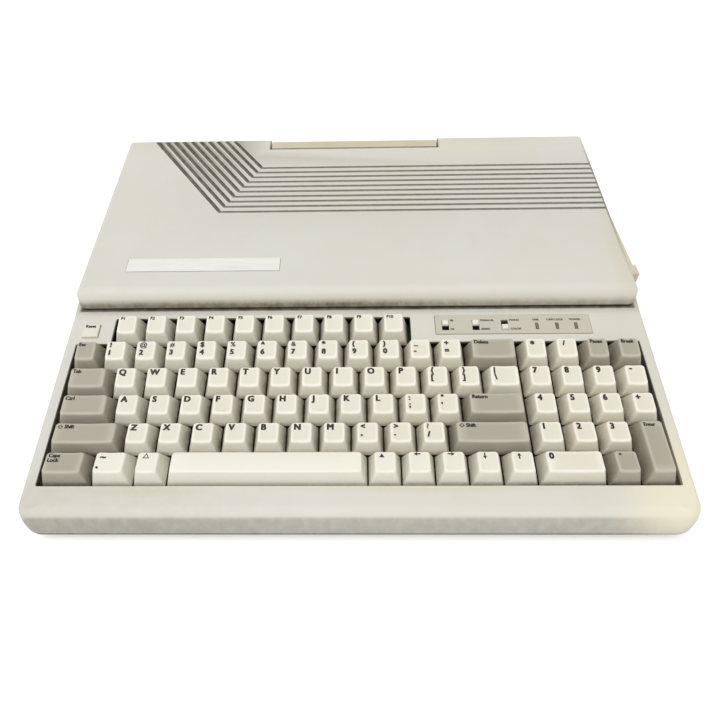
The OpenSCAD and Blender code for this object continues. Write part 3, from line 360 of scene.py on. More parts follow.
def plastic(name, base, yellowed, amount=0.3, rough=0.5, grain=2600.0, bump=0.12, waves=0.3,
            where=None, dark_tone=(96, 84, 60), strength=0.6, deep=None, patches=()):
    """A moulded plastic. where masks dirt and painted shade, deep a darker tone, mostly painted shade
    in recesses; patches are spots.
    """
    material, tree, shader, position = new_material(name)
    spots = [effect(tree, spot_group, position, Centre=centre, Reach=reach) * share
             for centre, reach, share in patches]
    patch = sum(spots[1:], spots[0]) if spots else 0.0
    tone = effect(tree, age_group, position, Color=colour(base), Yellowed=colour(yellowed),
                  Amount=amount, Patch=patch)
    if where:
        tone = effect(tree, dirt_and_shade_group, position, Color=tone, Where=where(tree, position),
                      Grime=colour(dark_tone), Strength=strength)
    # deep: a darker tone, mostly painted shade in recesses and gaps
    if deep:
        tone = effect(tree, dirt_and_shade_group, position, Color=tone, Where=deep(tree, position),
                      Grime=colour((62, 54, 39)), Strength=0.95, Breakup=0.2)
    uneven = noise(tree, position, 120.0, 3.0, 0.6).step(0.2, 0.8) * 0.14 + (rough - 0.07)
    skin = effect(tree, grain_group, position, Grain=grain, Waves=waves)
    finish(tree, shader, tone, uneven, skin, bump, 0.0002)
    shader.inputs["Specular IOR Level"].default_value = 0.4
    return material


def pale_spot(material, centre, reach, tone, share):
    """One spot of a lighter tone than what it lies on."""
    tree = material.node_tree
    position = tree.nodes["Texture Coordinate"].outputs["Object"]
    lay_over(material, effect(tree, spot_group, position, Centre=centre, Reach=reach) * share, tone)


print("recipe ready")

# %% [markdown]
# ### The case
# The shell's darker tones are dirt and painted shade. Brown dirt lies on the hood's nose and on the
# deck before it; shade is painted under the hood's lip and nose, in the grooves, the key well and the
# handle's pocket, and, with dirt, low on the front. A dark line marks the seam. It could all be
# stored on the mesh, but most of it follows the height and the depth of a point at rest, and steps of
# those coordinates stay sharp at any zoom. Only the grooves need a mask on the mesh, because they
# turn. Sizes in these masks are metres.

# %% Material: case


def case_dirt_and_shade(tree, position):
    """Brown film low on the hood's nose and on the deck before it; painted shade with dirt at the
    foot of the front.
    """
    x, y, z = axes(tree, position)
    nose = y.step(-0.0085, -0.0120) * z.band(0.0425, 0.0430, 0.0458, 0.0510)
    nose = nose * (x.step(0.09, -0.02) * 0.45 + 0.6)
    front_left = x.step(0.02, -0.16) * y.step(-0.1250, -0.1420) * 0.14
    deck = y.step(-0.0200, -0.0130) * z.band(0.0390, 0.0400, 0.0432, 0.0440) * 0.4
    # painted shade with dirt at the foot of the front, which turns down from the light
    foot = y.step(-0.1526, -0.1552) * z.step(0.0214, 0.0195) * 0.3
    return nose | front_left | deck | foot


def pocket_shade(y, z, off):
    """Painted shade on the front wall and the ends of the handle's pocket."""
    front, half, floor = POCKET_Y * MM, POCKET_HALF * MM, POCKET_Z * MM
    wall = y.band(front - 0.0005, front - 0.0002, front + 0.0002, front + 0.0006)
    ends = off.step(half - 0.0005, half - 0.0001) * y.step(front - 0.0005, front - 0.0002)
    inside = off.step(half + 0.0010, half + 0.0006) * z.step(floor - 0.0002, floor + 0.0010)
    return (wall | ends * 0.7) * inside * 0.8


def case_shade_and_seam(tree, position):
    """Painted shade in the grooves, under the hood's lip and nose, low on the front, in the key well
    and in the handle's pocket, with some dirt at the nose and the front; and the seam's dark line.
    """
    x, y, z = axes(tree, position)
    x = x - SHIFT * MM
    off = abs(x)
    # painted shadow under the hood's lip, in the gap and on the deck just before it
    lip = y.step(-0.0148, -0.0135) * z.band(0.0395, 0.0405, 0.0434, 0.0444)
    lip = lip * off.step(0.1852, 0.1830)
    # painted shade with dirt low on the front, where it turns down from the light
    foot = y.step(-0.1526, -0.1552) * z.step(0.0210, 0.0192) * (x.step(0.0, -0.15) * 0.1 + 0.29)
    # painted shade with dirt at the lower edge of the hood's nose
    nose = y.step(-0.0100, -0.0122) * z.band(0.0425, 0.0430, 0.0448, 0.0482)
    nose = nose * (x.step(0.09, -0.02) * 0.16 + 0.14)
    seam = z.step(0.0112, 0.0102) * 0.8
    # painted shade on the walls of the key well
    deck = y * tan(DECK_TILT) + deck_z(0) * MM
    well = (deck - z).step(0.0003, 0.0016) * off.step(0.1838, 0.1830)
    well = well * y.band(-0.1380, -0.1372, -0.0150, -0.0110)
    # recess is the painted shade in the grooves; the pocket's mask is painted shade too
    return attribute(tree, "recess") | lip | foot | pocket_shade(y, z, off) | nose | seam | well


# the third colour is the brown of dirt and of the painted shade at the front's foot
CASE_BASE, CASE_YELLOW, CASE_DIRT_AND_SHADE = (215, 214, 207), (210, 205, 187), (112, 100, 72)
case_beige = plastic(
    "case_beige_plastic", CASE_BASE, CASE_YELLOW, 0.35, 0.5, where=case_dirt_and_shade,
    dark_tone=CASE_DIRT_AND_SHADE, strength=0.85, deep=case_shade_and_seam,
    patches=[
        ((-0.12, -0.139, 0.0235), (0.05, 0.006, 0.01), 0.8),
        ((0.03, -0.1375, 0.0235), (0.14, 0.005, 0.01), 0.7),
        ((-0.183, -0.145, 0.020), (0.03, 0.03, 0.03), 0.35),
        ((0.12, 0.158, 0.06), (0.10, 0.02, 0.03), 0.6),
        ((-0.16, 0.158, 0.06), (0.06, 0.02, 0.03), 0.6),
        ((0.0, -0.014, 0.050), (0.25, 0.008, 0.012), 0.5),
        ((0.179, 0.0, 0.055), (0.012, 0.16, 0.02), 0.5),
    ])
# a painted highlight on the front right corner of the deck
pale_spot(case_beige, (0.178, -0.140, 0.022), (0.05, 0.07, 0.03), (234, 228, 205), 0.85)
print("case nodes:", len(case_beige.node_tree.nodes))

# %% [markdown]
# ### Keys, handle and smaller mouldings
# The keys carry two masks of their own: a painted highlight on their rims, and painted shade with
# some dirt low on their skirts. The cream keys are paler towards the front. The handle has yellowed
# most, and a line of painted shade runs along its front edge, where it lies against the hood.

# %% Materials: keys, handle, knobs, bezel and panel


def key_plastic(name, base, yellowed, rim_highlight, dark_tone):
    """Key plastic: aged tone, then a painted highlight on the rims and painted shade with dirt on the
    skirts, from the key's own masks.
    """
    # the skirt mask lays painted shade with dirt low on the sides
    material = plastic(name, base, yellowed, 0.35, 0.46, 3200.0, 0.10, 0.0,
                       lambda tree, position: attribute(tree, "skirt"), dark_tone, 0.9)
    # painted highlight on the rims
    lay_over(material, attribute(material.node_tree, "rim") * 0.8, rim_highlight)
    return material


def handle_gap_shade(tree, position):
    """Painted shade: a dark line along the handle's front edge, at its gap to the pocket."""
    _, y, z = axes(tree, position)
    front, top = POCKET_Y * MM, hood_z(POCKET_Y) * MM
    return y.step(front + 0.0025, front + 0.0019) * z.step(top - 0.0034, top - 0.0024) * 0.8


key_cream = key_plastic("key_cream_plastic", (227, 224, 210), (221, 213, 190),
                        (246, 244, 234), (92, 82, 60))
pale_spot(key_cream, (-0.060, -0.130, 0.035), (0.22, 0.020, 0.08), (240, 238, 226), 0.8)
key_grey = key_plastic("key_grey_plastic", (171, 166, 152), (166, 158, 137),
                       (194, 189, 175), (70, 62, 46))
# the handle's deep mask is painted shade at its gap
handle_tan = plastic("handle_yellowed_plastic", (207, 202, 184), (196, 187, 158), 0.7,
                     deep=handle_gap_shade)
knob_white = plastic("knob_white_plastic", (232, 230, 220), (222, 214, 190), 0.4, 0.45)
plastic("bezel_beige_plastic", (212, 207, 193), (204, 193, 164), 0.5)
plastic("panel_grey_plastic", (198, 195, 182), (192, 185, 165), 0.4, 0.42, 3600.0, 0.06, 0.0)
print("plastics:", len(bpy.data.materials))

# %% [markdown]
# ### Print, metal and small parts
# Legends are pad-printed ink, slightly glossy and a little worn. The blank badge is a foil-faced
# plate: fine brush lines run along it. Boards, chips and steel sit inside and show through gaps.

# %% Materials: ink, badge, metal, rubber and boards


def simple(name, base, other, scale, rough, metallic=0.0, stretch=(1, 1, 1), bump=0.05):
    """A finish with its own grain: stretched noise drives its colour, roughness and bump."""
    material, tree, shader, position = new_material(name)
    pulled = vector_maths(tree, "MULTIPLY", position, stretch)
    lines = noise(tree, pulled.outputs[0], scale, 4.0, 0.6)
    tone = blend_colours(tree, lines.step(0.3, 0.7), colour(base), colour(other))
    finish(tree, shader, tone, lines * 0.2 + (rough - 0.1), lines, bump, 0.0001)
    shader.inputs["Metallic"].default_value = metallic
    return material


for values in (
        ("legend_ink", (22, 20, 17), (38, 35, 29), 900.0, 0.45),
        ("panel_ink", (62, 58, 49), (88, 82, 70), 900.0, 0.5),
        ("badge_silver_foil", (236, 236, 233), (226, 226, 222), 700.0, 0.38, 0.25, (0.06, 1, 1),
         0.04),
        ("foot_black_rubber", (44, 43, 41), (60, 58, 54), 500.0, 0.8),
        ("screw_zinc_steel", (168, 168, 162), (140, 138, 128), 700.0, 0.35, 0.9),
        ("plate_dark_steel", (74, 70, 62), (56, 52, 45), 300.0, 0.5, 0.6),
        ("chassis_cast_metal", (170, 172, 172), (150, 150, 148), 400.0, 0.45, 0.85),
        ("rail_ground_steel", (205, 206, 206), (180, 180, 180), 600.0, 0.25, 0.95, (1, 0.1, 0.1)),
        ("board_green_mask", (44, 92, 58), (34, 74, 46), 260.0, 0.35),
        ("chip_black_epoxy", (34, 34, 36), (48, 48, 50), 800.0, 0.55),
        ("socket_black_plastic", (36, 36, 38), (50, 50, 50), 600.0, 0.5),
        ("lever_dark_plastic", (78, 74, 68), (92, 87, 79), 800.0, 0.5),
        ("switch_dark_plastic", (40, 38, 35), (54, 50, 44), 500.0, 0.6),
        ("lens_smoked_red", (126, 118, 98), (106, 88, 70), 300.0, 0.3)):
    simple(*values)
finishes = bpy.data.materials
ink, grey_ink = finishes["legend_ink"], finishes["panel_ink"]
print("finishes:", len(finishes))

# %% [markdown]
# ## Mesh helpers
# The shell is made by lofting: a closed outline is repeated at rising heights, drawn in a little at
# each step to round the top edge, and the steps are joined with faces. Cutters are lofted too, with
# a small flare where they leave the surface, so every opening gets a soft edge from the cut itself.

# %% Helpers: outlines and lofts


def outline(half, y0, y1, front_r, rear_r, steps, stops=()):
    """A rounded rectangle as (x, y, radius, cos, sin), counter-clockwise from the right."""
    points = []
    for side, y, r, start in ((1, y1 - rear_r, rear_r, 0), (-1, y1 - rear_r, rear_r, 90),
                              (-1, y0 + front_r, front_r, 180), (1, y0 + front_r, front_r, 270)):
        for i in range(steps + 1):
            a = radians(start + 90 * i / steps)
            points.append((side * (half - r), y, r, cos(a), sin(a)))
        if start == 90:
            points += [(-half, s, 0, -1, 0) for s in sorted(stops, reverse=True)]
    points += [(half, s, 0, 1, 0) for s in sorted(stops)]
    return points


def ring(points, inset, height):
    """The outline drawn in by inset(sin, y), at height(new y, sin, y); either may be a number."""
    rows = []
    for x, y, r, c, s in points:
        d = inset(s, y) if callable(inset) else inset
        px, py = x + (r - d) * c, y + (r - d) * s
        rows.append((px, py, height(py, s, y) if callable(height) else height))
    return rows


def loft(rings, close_high=True):
    """Vertices and faces of a tube through the rings, with its ends closed."""
    n, last = len(rings[0]), (len(rings) - 1) * len(rings[0])
    faces = [(a + i, a + (i + 1) % n, a + n + (i + 1) % n, a + n + i)
             for a in range(0, last, n) for i in range(n)]
    faces.append(tuple(range(n - 1, -1, -1)))
    if close_high:
        faces.append(tuple(range(last, last + n)))
    return [p for row in rings for p in row], faces


def rounded_block(half, y0, y1, r, low, high, steps=4):
    """An upright block with rounded corners; low and high may be functions as in ring."""
    points = outline(half, y0, y1, r, r, steps)
    return loft([ring(points, 0, low), ring(points, 0, high)])


def box_mesh(low, high):
    (x0, y0, z0), (x1, y1, z1) = low, high
    verts = [(x, y, z) for z in (z0, z1) for x, y in ((x0, y0), (x1, y0), (x1, y1), (x0, y1))]
    faces = [(3, 2, 1, 0), (4, 5, 6, 7), (0, 1, 5, 4), (1, 2, 6, 5), (2, 3, 7, 6), (3, 0, 4, 7)]
    return verts, faces


def about(x, y, half_x, half_y):
    """The limits of a rectangle about its middle."""
    return x - half_x, x + half_x, y - half_y, y + half_y


def post(x, y, half_x, half_y, low, high):
    """An upright bar about (x, y)."""
    x0, x1, y0, y1 = about(x, y, half_x, half_y)
    return box_mesh((x0, y0, low), (x1, y1, high))


def moved(mesh, place):
    """The same faces with every point put through place(x, y, z)."""
    return [place(*point) for point in mesh[0]], mesh[1]


def joined(parts):
    """Several (verts, faces) as one."""
    verts, faces = [], []
    for v, f in parts:
        faces += [tuple(i + len(verts) for i in face) for face in f]
        verts += v
    return verts, faces


print("mesh helpers ready")

# %% [markdown]
# ### Objects and cuts
# Openings could be modelled face by face, but then a changed size would mean doing them again. So
# each is cut with a boolean, which is applied at once. The manifold solver is the fastest and
# leaves clean edges; it asks for closed shapes, which lofts always are.

# %% Helpers: objects, cuts and normals


def linked(name, data):
    """A new object of the data, in the scene."""
    obj = bpy.data.objects.new(name, data)
    bpy.context.scene.collection.objects.link(obj)
    return obj


def make_object(name, verts, faces, materials=(), sharp=35, slots=None):
    """A mesh object from millimetres, shaded smooth up to the given angle."""
    mesh = bpy.data.meshes.new(name)
    mesh.from_pydata([(x * MM, y * MM, z * MM) for x, y, z in verts], [], faces)
    for material in materials:
        mesh.materials.append(material)
    if slots is not None:
        mesh.polygons.foreach_set("material_index", slots)
    mesh.update()
    mesh.shade_smooth()
    mesh.set_sharp_from_angle(angle=radians(sharp))
    return linked(name, mesh)


def carve(target, cutter, operation="DIFFERENCE"):
    """Applies one boolean to target and deletes the cutter."""
    tool = make_object("tool", *cutter)
    modifier = target.modifiers.new("cut", "BOOLEAN")
    modifier.operation, modifier.solver, modifier.object = operation, "MANIFOLD", tool
    bpy.context.view_layer.update()
    graph = bpy.context.evaluated_depsgraph_get()
    result = bpy.data.meshes.new_from_object(target.evaluated_get(graph))
    target.modifiers.clear()
    old, target.data = target.data, result
    bpy.data.meshes.remove(old)
    bpy.data.objects.remove(tool)
    print("  %s: %d faces" % (operation.lower(), len(result.polygons)))


def flared(u0, u1, v0, v1, r, low, top, place, flare):
    """A rounded rectangular cutter from low up through the surface at top, with a soft mouth."""
    points = outline((u1 - u0) / 2, v0, v1, r, r, 4)
    mid = (u0 + u1) / 2
    levels = [(low, 0), (top - flare, 0), (top - 0.45 * flare, 0.2 * flare), (top, flare),
              (top + 1.0, flare + 2.2), (top + 12, flare + 2.2)]
    return loft([[place(x + mid, y, w) for x, y, _ in ring(points, -grow, 0)]
                 for w, grow in levels])


def move_to_frame(obj):
    """The case stands a little to the left of the model's middle."""
    obj.data.transform(Matrix.Translation((SHIFT * MM, 0, 0)))


def dress(obj, material, angle=30):
    """One material, sharp edges from the angle, and normals weighted by the size of the faces."""
    obj.data.materials.clear()
    obj.data.materials.append(material)
    obj.data.shade_smooth()
    obj.data.set_sharp_from_angle(angle=radians(angle))
    modifier = obj.modifiers.new("weigh", "WEIGHTED_NORMAL")
    modifier.keep_sharp = True
    modifier.weight = 80


def store(obj, name, values):
    """Keeps one number for each point of the mesh, for a material to read."""
    obj.data.attributes.new(name, "FLOAT", "POINT").data.foreach_set("value", values)


print("object helpers ready")

# %% [markdown]
# ## The upper shell
# On the real machine the deck, the sides and the hood are one moulding. It is built from three
# lofts: the low wedge, the hood, and the neck that joins them behind the shadow gap. Rolling the
# front edge over with a large radius and the sides with a small one gives the soft front.

# %% Loft the wedge, the neck and the hood
QUARTER = [radians(90 * k / 8) for k in range(9)]
FRONT_ROLL, SIDE_ROLL, REAR_ROLL = 12, 3.5, 1


def edge_radius(s, front, side, rear):
    """Rounding of the top edge: large in front, small at the sides and smaller at the rear."""
    if s < 0:
        return side + (front - side) * s * s
    return side + (rear - side) * (s * s)


def wedge(shrink, low, soft=0.5):
    """The low wedge, shrunk by a wall where asked. Its top is two faces, cut under the hood."""
    points = outline(HALF_W - shrink, FRONT_Y + shrink, REAR_Y - shrink, FRONT_CORNER - shrink,
                     REAR_CORNER - min(shrink, 2.5), 12, (HOOD_Y, HOOD_Y + 8))

    def roll(s, y):
        under_hood = y > HOOD_Y + 1
        edge = REAR_ROLL if under_hood else edge_radius(s, FRONT_ROLL, SIDE_ROLL, REAR_ROLL)
        return max(edge, REAR_ROLL) - min(shrink, 0.6)

    def top(y):
        return min(deck_z(y) - shrink / cos(DECK_TILT), LEDGE_Z - shrink)

    rings = [ring(points, soft, low), ring(points, 0, low + soft)]
    for a in QUARTER:
        rings.append(ring(points, lambda s, y: roll(s, y) * (1 - cos(a)),
                          lambda py, s, y: top(py) - roll(s, y) * (1 - sin(a))))
    verts, faces = loft(rings, close_high=False)
    n, last = len(points), len(verts) - len(points)
    left, right = (next(i for i, p in enumerate(points) if p[1] == HOOD_Y and p[3] * side > 0)
                   for side in (-1, 1))
    faces.append(tuple(last + i for i in range(left, right + 1)))
    faces.append(tuple(last + i % n for i in range(right, n + left + 1)))
    return verts, faces


def hood():
    """The hood with its round nose, sides that lean in as they rise, and a small rear radius."""
    draft, front, side, rear = 0.1, 9.8, 3.0, 3.6

    def level(drawn_in, inset, height):
        points = outline(HOOD_HALF - side * drawn_in, HOOD_Y + front * drawn_in,
                         REAR_Y - rear * drawn_in, HOOD_CORNER, REAR_CORNER, 12)
        return [(x - copysign(draft * max(z - HOOD_LOW, 0), x) * abs(p[3]), y, z)
                for (x, y, z), p in zip(ring(points, inset, height), points)]

    rings = [level(0, inset, HOOD_LOW + up) for inset, up in ((0.6, 0), (0.15, 0.2), (0, 0.6))]
    for a in QUARTER:
        rings.append(level(1 - cos(a), 0, lambda py, s, y: (
            hood_z(py) - edge_radius(s, front, side, rear) * (1 - sin(a)))))
    return loft(rings)


shell = make_object("upper_shell", *wedge(0, SEAM_Z))
neck = rounded_block(HOOD_HALF - 3, HOOD_Y + 5, REAR_Y - 3, 3, LEDGE_Z - 3, HOOD_LOW + 2)
carve(shell, neck, "UNION")
carve(shell, hood(), "UNION")
print("shell joined:", len(shell.data.polygons), "faces")

# %% [markdown]
# ## Hollow it and cut its openings
# The shell is a thin wall, so the same shapes, a wall smaller, are taken out of it. Then come the
# openings: the key well with its step for the function keys, the Reset hole, the recesses of the
# badge and the control panel, the handle's pocket, the drive bay, the sockets and the side cover.

# %% Hollow the shell
carve(shell, wedge(WALL, SEAM_Z - 1))
carve(shell, rounded_block(HOOD_HALF - 5, HOOD_Y + 8, REAR_Y - WALL, 3, HOOD_LOW + WALL,
                           lambda py, s, y: hood_z(py) - WALL))
carve(shell, rounded_block(HOOD_HALF - 5.6, HOOD_Y + 7.6, REAR_Y - 5.6, 3, LEDGE_Z - 6,
                           HOOD_LOW + 5))
print("hollow shell:", len(shell.data.polygons), "faces")

# %% [markdown]
# ### The handle's pocket
# The handle folds into a pocket in the rear edge. A plain hole would show the boards, so the real
# moulding has walls round it. Here a block is joined to the inside first, and the pocket is cut out
# of that block.

# %% The handle's pocket: its walls are added inside, then its room is cut
POCKET_WALL = 2.6


def pocket_place(x, y, w):
    return (x, y, POCKET_Z if w < -15 else hood_z(y) + w)


carve(shell, box_mesh((-POCKET_HALF - POCKET_WALL, POCKET_Y - POCKET_WALL, POCKET_Z - POCKET_WALL),
                      (POCKET_HALF + POCKET_WALL, REAR_Y - 1.3, hood_z(POCKET_Y) - 1.5)), "UNION")
carve(shell, flared(-POCKET_HALF, POCKET_HALF, POCKET_Y, REAR_Y + 8, 0.6, -20, 0, pocket_place,
                    0.4))
print("pocket floor at %.1f mm" % POCKET_Z)

# %% [markdown]
# ### Openings of the deck
# The keys stand in one well, with a step in its rear edge for the function keys. All the openings
# here are square to the deck. So one table gives their limits in the keyboard's axes, and one
# flared cutter makes them all.

# %% Key well, function keys, Reset and the control panel's recess
FN_START = 1.176
RESET_U, RESET_V = 6, 107.1
PANEL_U, PANEL_V = KEYS_W / 2 + 102.4, 110.6
FN_U0, FN_U1 = FN_START * PITCH - 2, (FN_START + 10) * PITCH + 2
for limits, r, low, flare in (
        ((-2, KEYS_W + 2, -0.6, 5 * PITCH + 2), 1.0, -12, 0.35),
        ((FN_U0, FN_U1, 40, 6 * PITCH + 3.2), 1.0, -12, 0.35),
        (about(RESET_U, RESET_V, 5.4, 5.4), 0.8, -12, 0.3),
        (about(PANEL_U, PANEL_V, 50.3, 7.8), 0.6, DECK_W - 1, 0.2)):
    carve(shell, flared(*limits, r, low, DECK_W, on_slope, flare))
print("deck openings cut")

# %% Slots of the knobs and the lamps
KNOBS_U = [PANEL_U - 43.5, PANEL_U - 23.9, PANEL_U - 5.1]
LAMPS_U = [PANEL_U + 15.5, PANEL_U + 28.4, PANEL_U + 40.6]
LAMP_V, KNOB_V = PANEL_V - 1.6, PANEL_V - 2.3
slots = [moved(rounded_block(half, v0, v1, 0.3, -8, 8, 2), lambda x, y, w: on_slope(x + u, y, w))
         for centres, half, v0, v1 in ((KNOBS_U, 2.3, KNOB_V - 2.3, KNOB_V + 5.8),
                                       (LAMPS_U, 1.1, LAMP_V - 2.6, LAMP_V + 2.6)) for u in centres]
carve(shell, joined(slots))
print("slots cut:", len(slots))

# %% [markdown]
# ### Recess of the badge
# The badge is a thin plate that lies in the hood, level with it. Its recess has to be square to the
# hood's slope and not to the floor, so it gets axes of its own, as the keyboard has.

# %% Badge recess
BADGE_X, BADGE_Y = -102.5, HOOD_Y + 28


def at_badge(x, y, w):
    """Axes of the badge, which lies square to the hood's slope."""
    c, s, v = cos(HOOD_TILT), sin(HOOD_TILT), y - BADGE_Y
    return (x, BADGE_Y + v * c - w * s, hood_z(BADGE_Y) + v * s + w * c)


carve(shell, flared(*about(BADGE_X, BADGE_Y, 52.3, 6.3), 0.5, -1, 0, at_badge, 0.2))
print("badge recess cut")

# %% [markdown]
# ## Grooves
# Ten grooves run to the right edge, and at their left ends each turns back towards the rear corner.
# A groove's cutter is one bent bar with a mitre at the turn. Its top is flared, so that the cut
# leaves a rounded shoulder on both sides. The slanting part of each is a fifth wider.

# %% Cut the grooves
GROOVES, GROOVE_PITCH, SLANT_WIDER, FAR = 10, 5.7, 1.2, 380
TURN_X, TURN_Y, LEAN = -71.5, REAR_Y - 38.5, radians(35.25)
STEP_X = GROOVE_PITCH / tan(pi / 4 + LEAN / 2)
HALF_PROFILE = [(0.6, -1.2), (0.86, -0.95), (0.95, -0.5), (1.04, -0.2), (1.25, 0.02), (1.7, 0.5),
                (1.7, 4)]
PROFILE = HALF_PROFILE + [(-across, up) for across, up in reversed(HALF_PROFILE)]


def turn(index):
    """Where the middle line of a groove turns, in plan."""
    return TURN_X - STEP_X * index, TURN_Y - GROOVE_PITCH * index


def groove(index):
    """A bent bar in the hood's slope, from the rear over the turn to the right."""
    x0, y0 = turn(index)
    c, s = cos(HOOD_TILT), sin(HOOD_TILT)
    back, across_back = Vector((-sin(LEAN), cos(LEAN))), Vector((cos(LEAN), sin(LEAN)))
    across_right = Vector((0.0, 1.0))
    mitre = (across_back + across_right) / (1 + sin(LEAN))
    rings = []
    for at, side in ((back * FAR, across_back * SLANT_WIDER), (back * 3, across_back * SLANT_WIDER),
                     (Vector((0, 0)), mitre), (Vector((FAR, 0)), across_right)):
        rings.append([])
        for across, up in PROFILE:
            x, y = at + side * across
            rings[-1].append((x0 + x, y0 + y * c - up * s, hood_z(y0) + y * s + up * c))
    return loft(rings)


carve(shell, joined([groove(i) for i in range(GROOVES)]))
print("grooves cut:", GROOVES)

# %% [markdown]
# ### Sides and rear
# Sockets and a switch show at the rear, the drive on the right, and a cover and the rim of a wheel
# on the left. Their openings are plain boxes, a fit larger than what stands in them. A soft mouth
# would only widen the gap there, so the edges stay sharp.

# %% Cut the sides and the rear
BOARD_TOP, FIT, ROCKER_X, ROCKER_Z = 10.7, 0.3, -104.2, 31.4
SOCKETS = [(-164.5, 19, 18), (-147.2, 13, 12), (-129, 19, 18), (-104.2, 25, 13), (-69, 37, 13),
           (-32, 29, 13)]
holes = [box_mesh((x - w / 2 - FIT, REAR_Y - 4, BOARD_TOP - FIT),
                  (x + w / 2 + FIT, REAR_Y + 1, BOARD_TOP + h + FIT)) for x, w, h in SOCKETS]
holes.append(box_mesh((ROCKER_X - 10.3, REAR_Y - 4, ROCKER_Z - 6.8),
                      (ROCKER_X + 10.3, REAR_Y + 1, ROCKER_Z + 6.8)))
drive_bay = box_mesh((178.4, 9.7, SEAM_Z - 2), (198, 156.3, 50.2))
side_cover = box_mesh((-189, 66.7, 16.7), (-184.4, 137.3, 37.3))
wheel_slot = moved(rounded_block(8.6, 39.4, 56.6, 8.5, 20.7, 24.3, 8),
                   lambda x, y, z: (x - 179.8, y, z))
for cutter in (joined(holes), drive_bay, side_cover, wheel_slot):
    carve(shell, cutter)
print("shell cut:", len(shell.data.polygons), "faces")

# %% [markdown]
# ## Finish the shell's mesh
# Long flat faces beside small rounded ones shade badly if every corner takes the plain average of
# its faces. Weighting the normals by face area keeps the flats flat. The mask of painted shade in the
# grooves is worked out from how far each point of the hood lies from the middle line of a groove.

# %% Mask and normals of the shell


def off_groove(x, y):
    """Distance in plan from the nearest groove's middle line, and whether that part slants."""
    best = (9.0, False)
    for i in range(GROOVES):
        x0, y0 = turn(i)
        dx, dy = x - x0, y - y0
        slanted = dx < 0 and dy > 0
        across = (dx * cos(LEAN) + dy * sin(LEAN)) / SLANT_WIDER if slanted else dy
        best = min(best, (abs(across), slanted))
    return best


def shell_recess(x, y, z):
    """Painted shade: 1 deep in a slanting groove, a little less in a straight one, and 0 elsewhere.
    """
    if hood_z(y) - z < 1.5 and y > 55:
        distance, slanted = off_groove(x, y)
        return (1.0 if slanted else 0.72) * min(max((1.24 - distance) / 0.12, 0), 1)
    return 0.0


# painted shade in the grooves
store(shell, "recess", [shell_recess(*(c / MM for c in v.co)) for v in shell.data.vertices])
move_to_frame(shell)
dress(shell, case_beige)
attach(shell, "computer")
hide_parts("top_case")
print("shell points:", len(shell.data.vertices))

# %% [markdown]
# ## Keys
# A key cap is a hollow frustum with a dished top and soft rims. Each row has its own height and
# lean, so that a typing hand meets a gentle curve. A bevelled box would have a flat top and the
# same rim all round. So one function makes any cap from its row and its size, as rings: up the
# side, over the rim, and inwards across the dish.

# %% Sizes of the key rows
CAP_FRONT_H = [9.5, 9.5, 7.9, 8.3, 8.9, 10.3]
CAP_BACK_H = [10.8, 10.8, 9.2, 8.7, 8.6, 9.2]
GAP, INSET, CAP_FRONT, CAP_TOP, SKIRT_W = 0.9, 3.8, 4.2, 12.7, -1.3
DISH, CROWN = 0.55, 0.45
STEM_HALF, STEM_FOOT = 2.4, -7.7


def row_v(row):
    return 5 * PITCH + 1.2 if row == 1 else (6 - row) * PITCH


def top_limits(width, depth):
    """Edges of a cap's top, from the left and front of its cell."""
    return INSET, width * PITCH - INSET, CAP_FRONT, depth * PITCH - (PITCH - CAP_FRONT - CAP_TOP)


def top_height(x, y, row, width, depth, lift=0.0):
    """Height of the dished top; the long bar is crowned instead of dished."""
    x0, x1, y0, y1 = top_limits(width, depth)
    t = (y - y0) / (y1 - y0)
    plane = CAP_FRONT_H[row - 1] * (1 - t) + CAP_BACK_H[row - 1] * t
    if width > 4:
        hollow = CROWN * (2 * t - 1) ** 2
    else:
        across = (2 * x - x0 - x1) / (x1 - x0)
        hollow = DISH * (1 - min(across * across, 1.0))
    return plane - hollow + lift


def rounded(x0, x1, y0, y1, r, corner=4, side=8):
    """A rounded rectangle with points along its sides too, so that a dish can follow."""
    points = []
    left, right, front, back = x0 + r, x1 - r, y0 + r, y1 - r
    centres = ((right, back, 0), (left, back, 90), (left, front, 180), (right, front, 270))
    for k, (cx, cy, start) in enumerate(centres):
        for i in range(corner + 1):
            a = radians(start + 90 * i / corner)
            points.append((cx + r * cos(a), cy + r * sin(a)))
        nx, ny, next_start = centres[(k + 1) % 4]
        a = radians(next_start)
        end = (nx + r * cos(a), ny + r * sin(a))
        last = points[-1]
        for i in range(1, side):
            points.append(tuple(p + (q - p) * i / side for p, q in zip(last, end)))
    return points


print("key rows:", len(CAP_FRONT_H))

# %% [markdown]
# ### Rim and cap
# A bevel modifier would round the rim too, but not by the same amount all round a dish. Here each
# point of the sharp edge becomes the handle of a short curve from the side to the top. The rings
# also carry two masks: a painted highlight on the rim, and painted shade with dirt on the skirt.

# %% Helper: the rim of a cap


def over_rim(edge, base, mid, height, reach=0.9):
    """Rings from the side over the rim to the top: short curves with the sharp edge as handle."""
    for t in (0.2, 0.4, 0.6, 0.8):
        rows = []
        for p, q in zip(edge, base):
            length = dist(p, q)
            below = tuple(i + (j - i) * reach / length for i, j in zip(p, q))
            k = reach / hypot(p[0] - mid[0], p[1] - mid[1])
            bx, by = p[0] + (mid[0] - p[0]) * k, p[1] + (mid[1] - p[1]) * k
            inward = (bx, by, height(bx, by))
            rows.append(tuple((1 - t) ** 2 * i + 2 * t * (1 - t) * j + t * t * m
                              for i, j, m in zip(below, p, inward)))
        yield rows


print("rim helper ready")

# %% Helper: one key cap


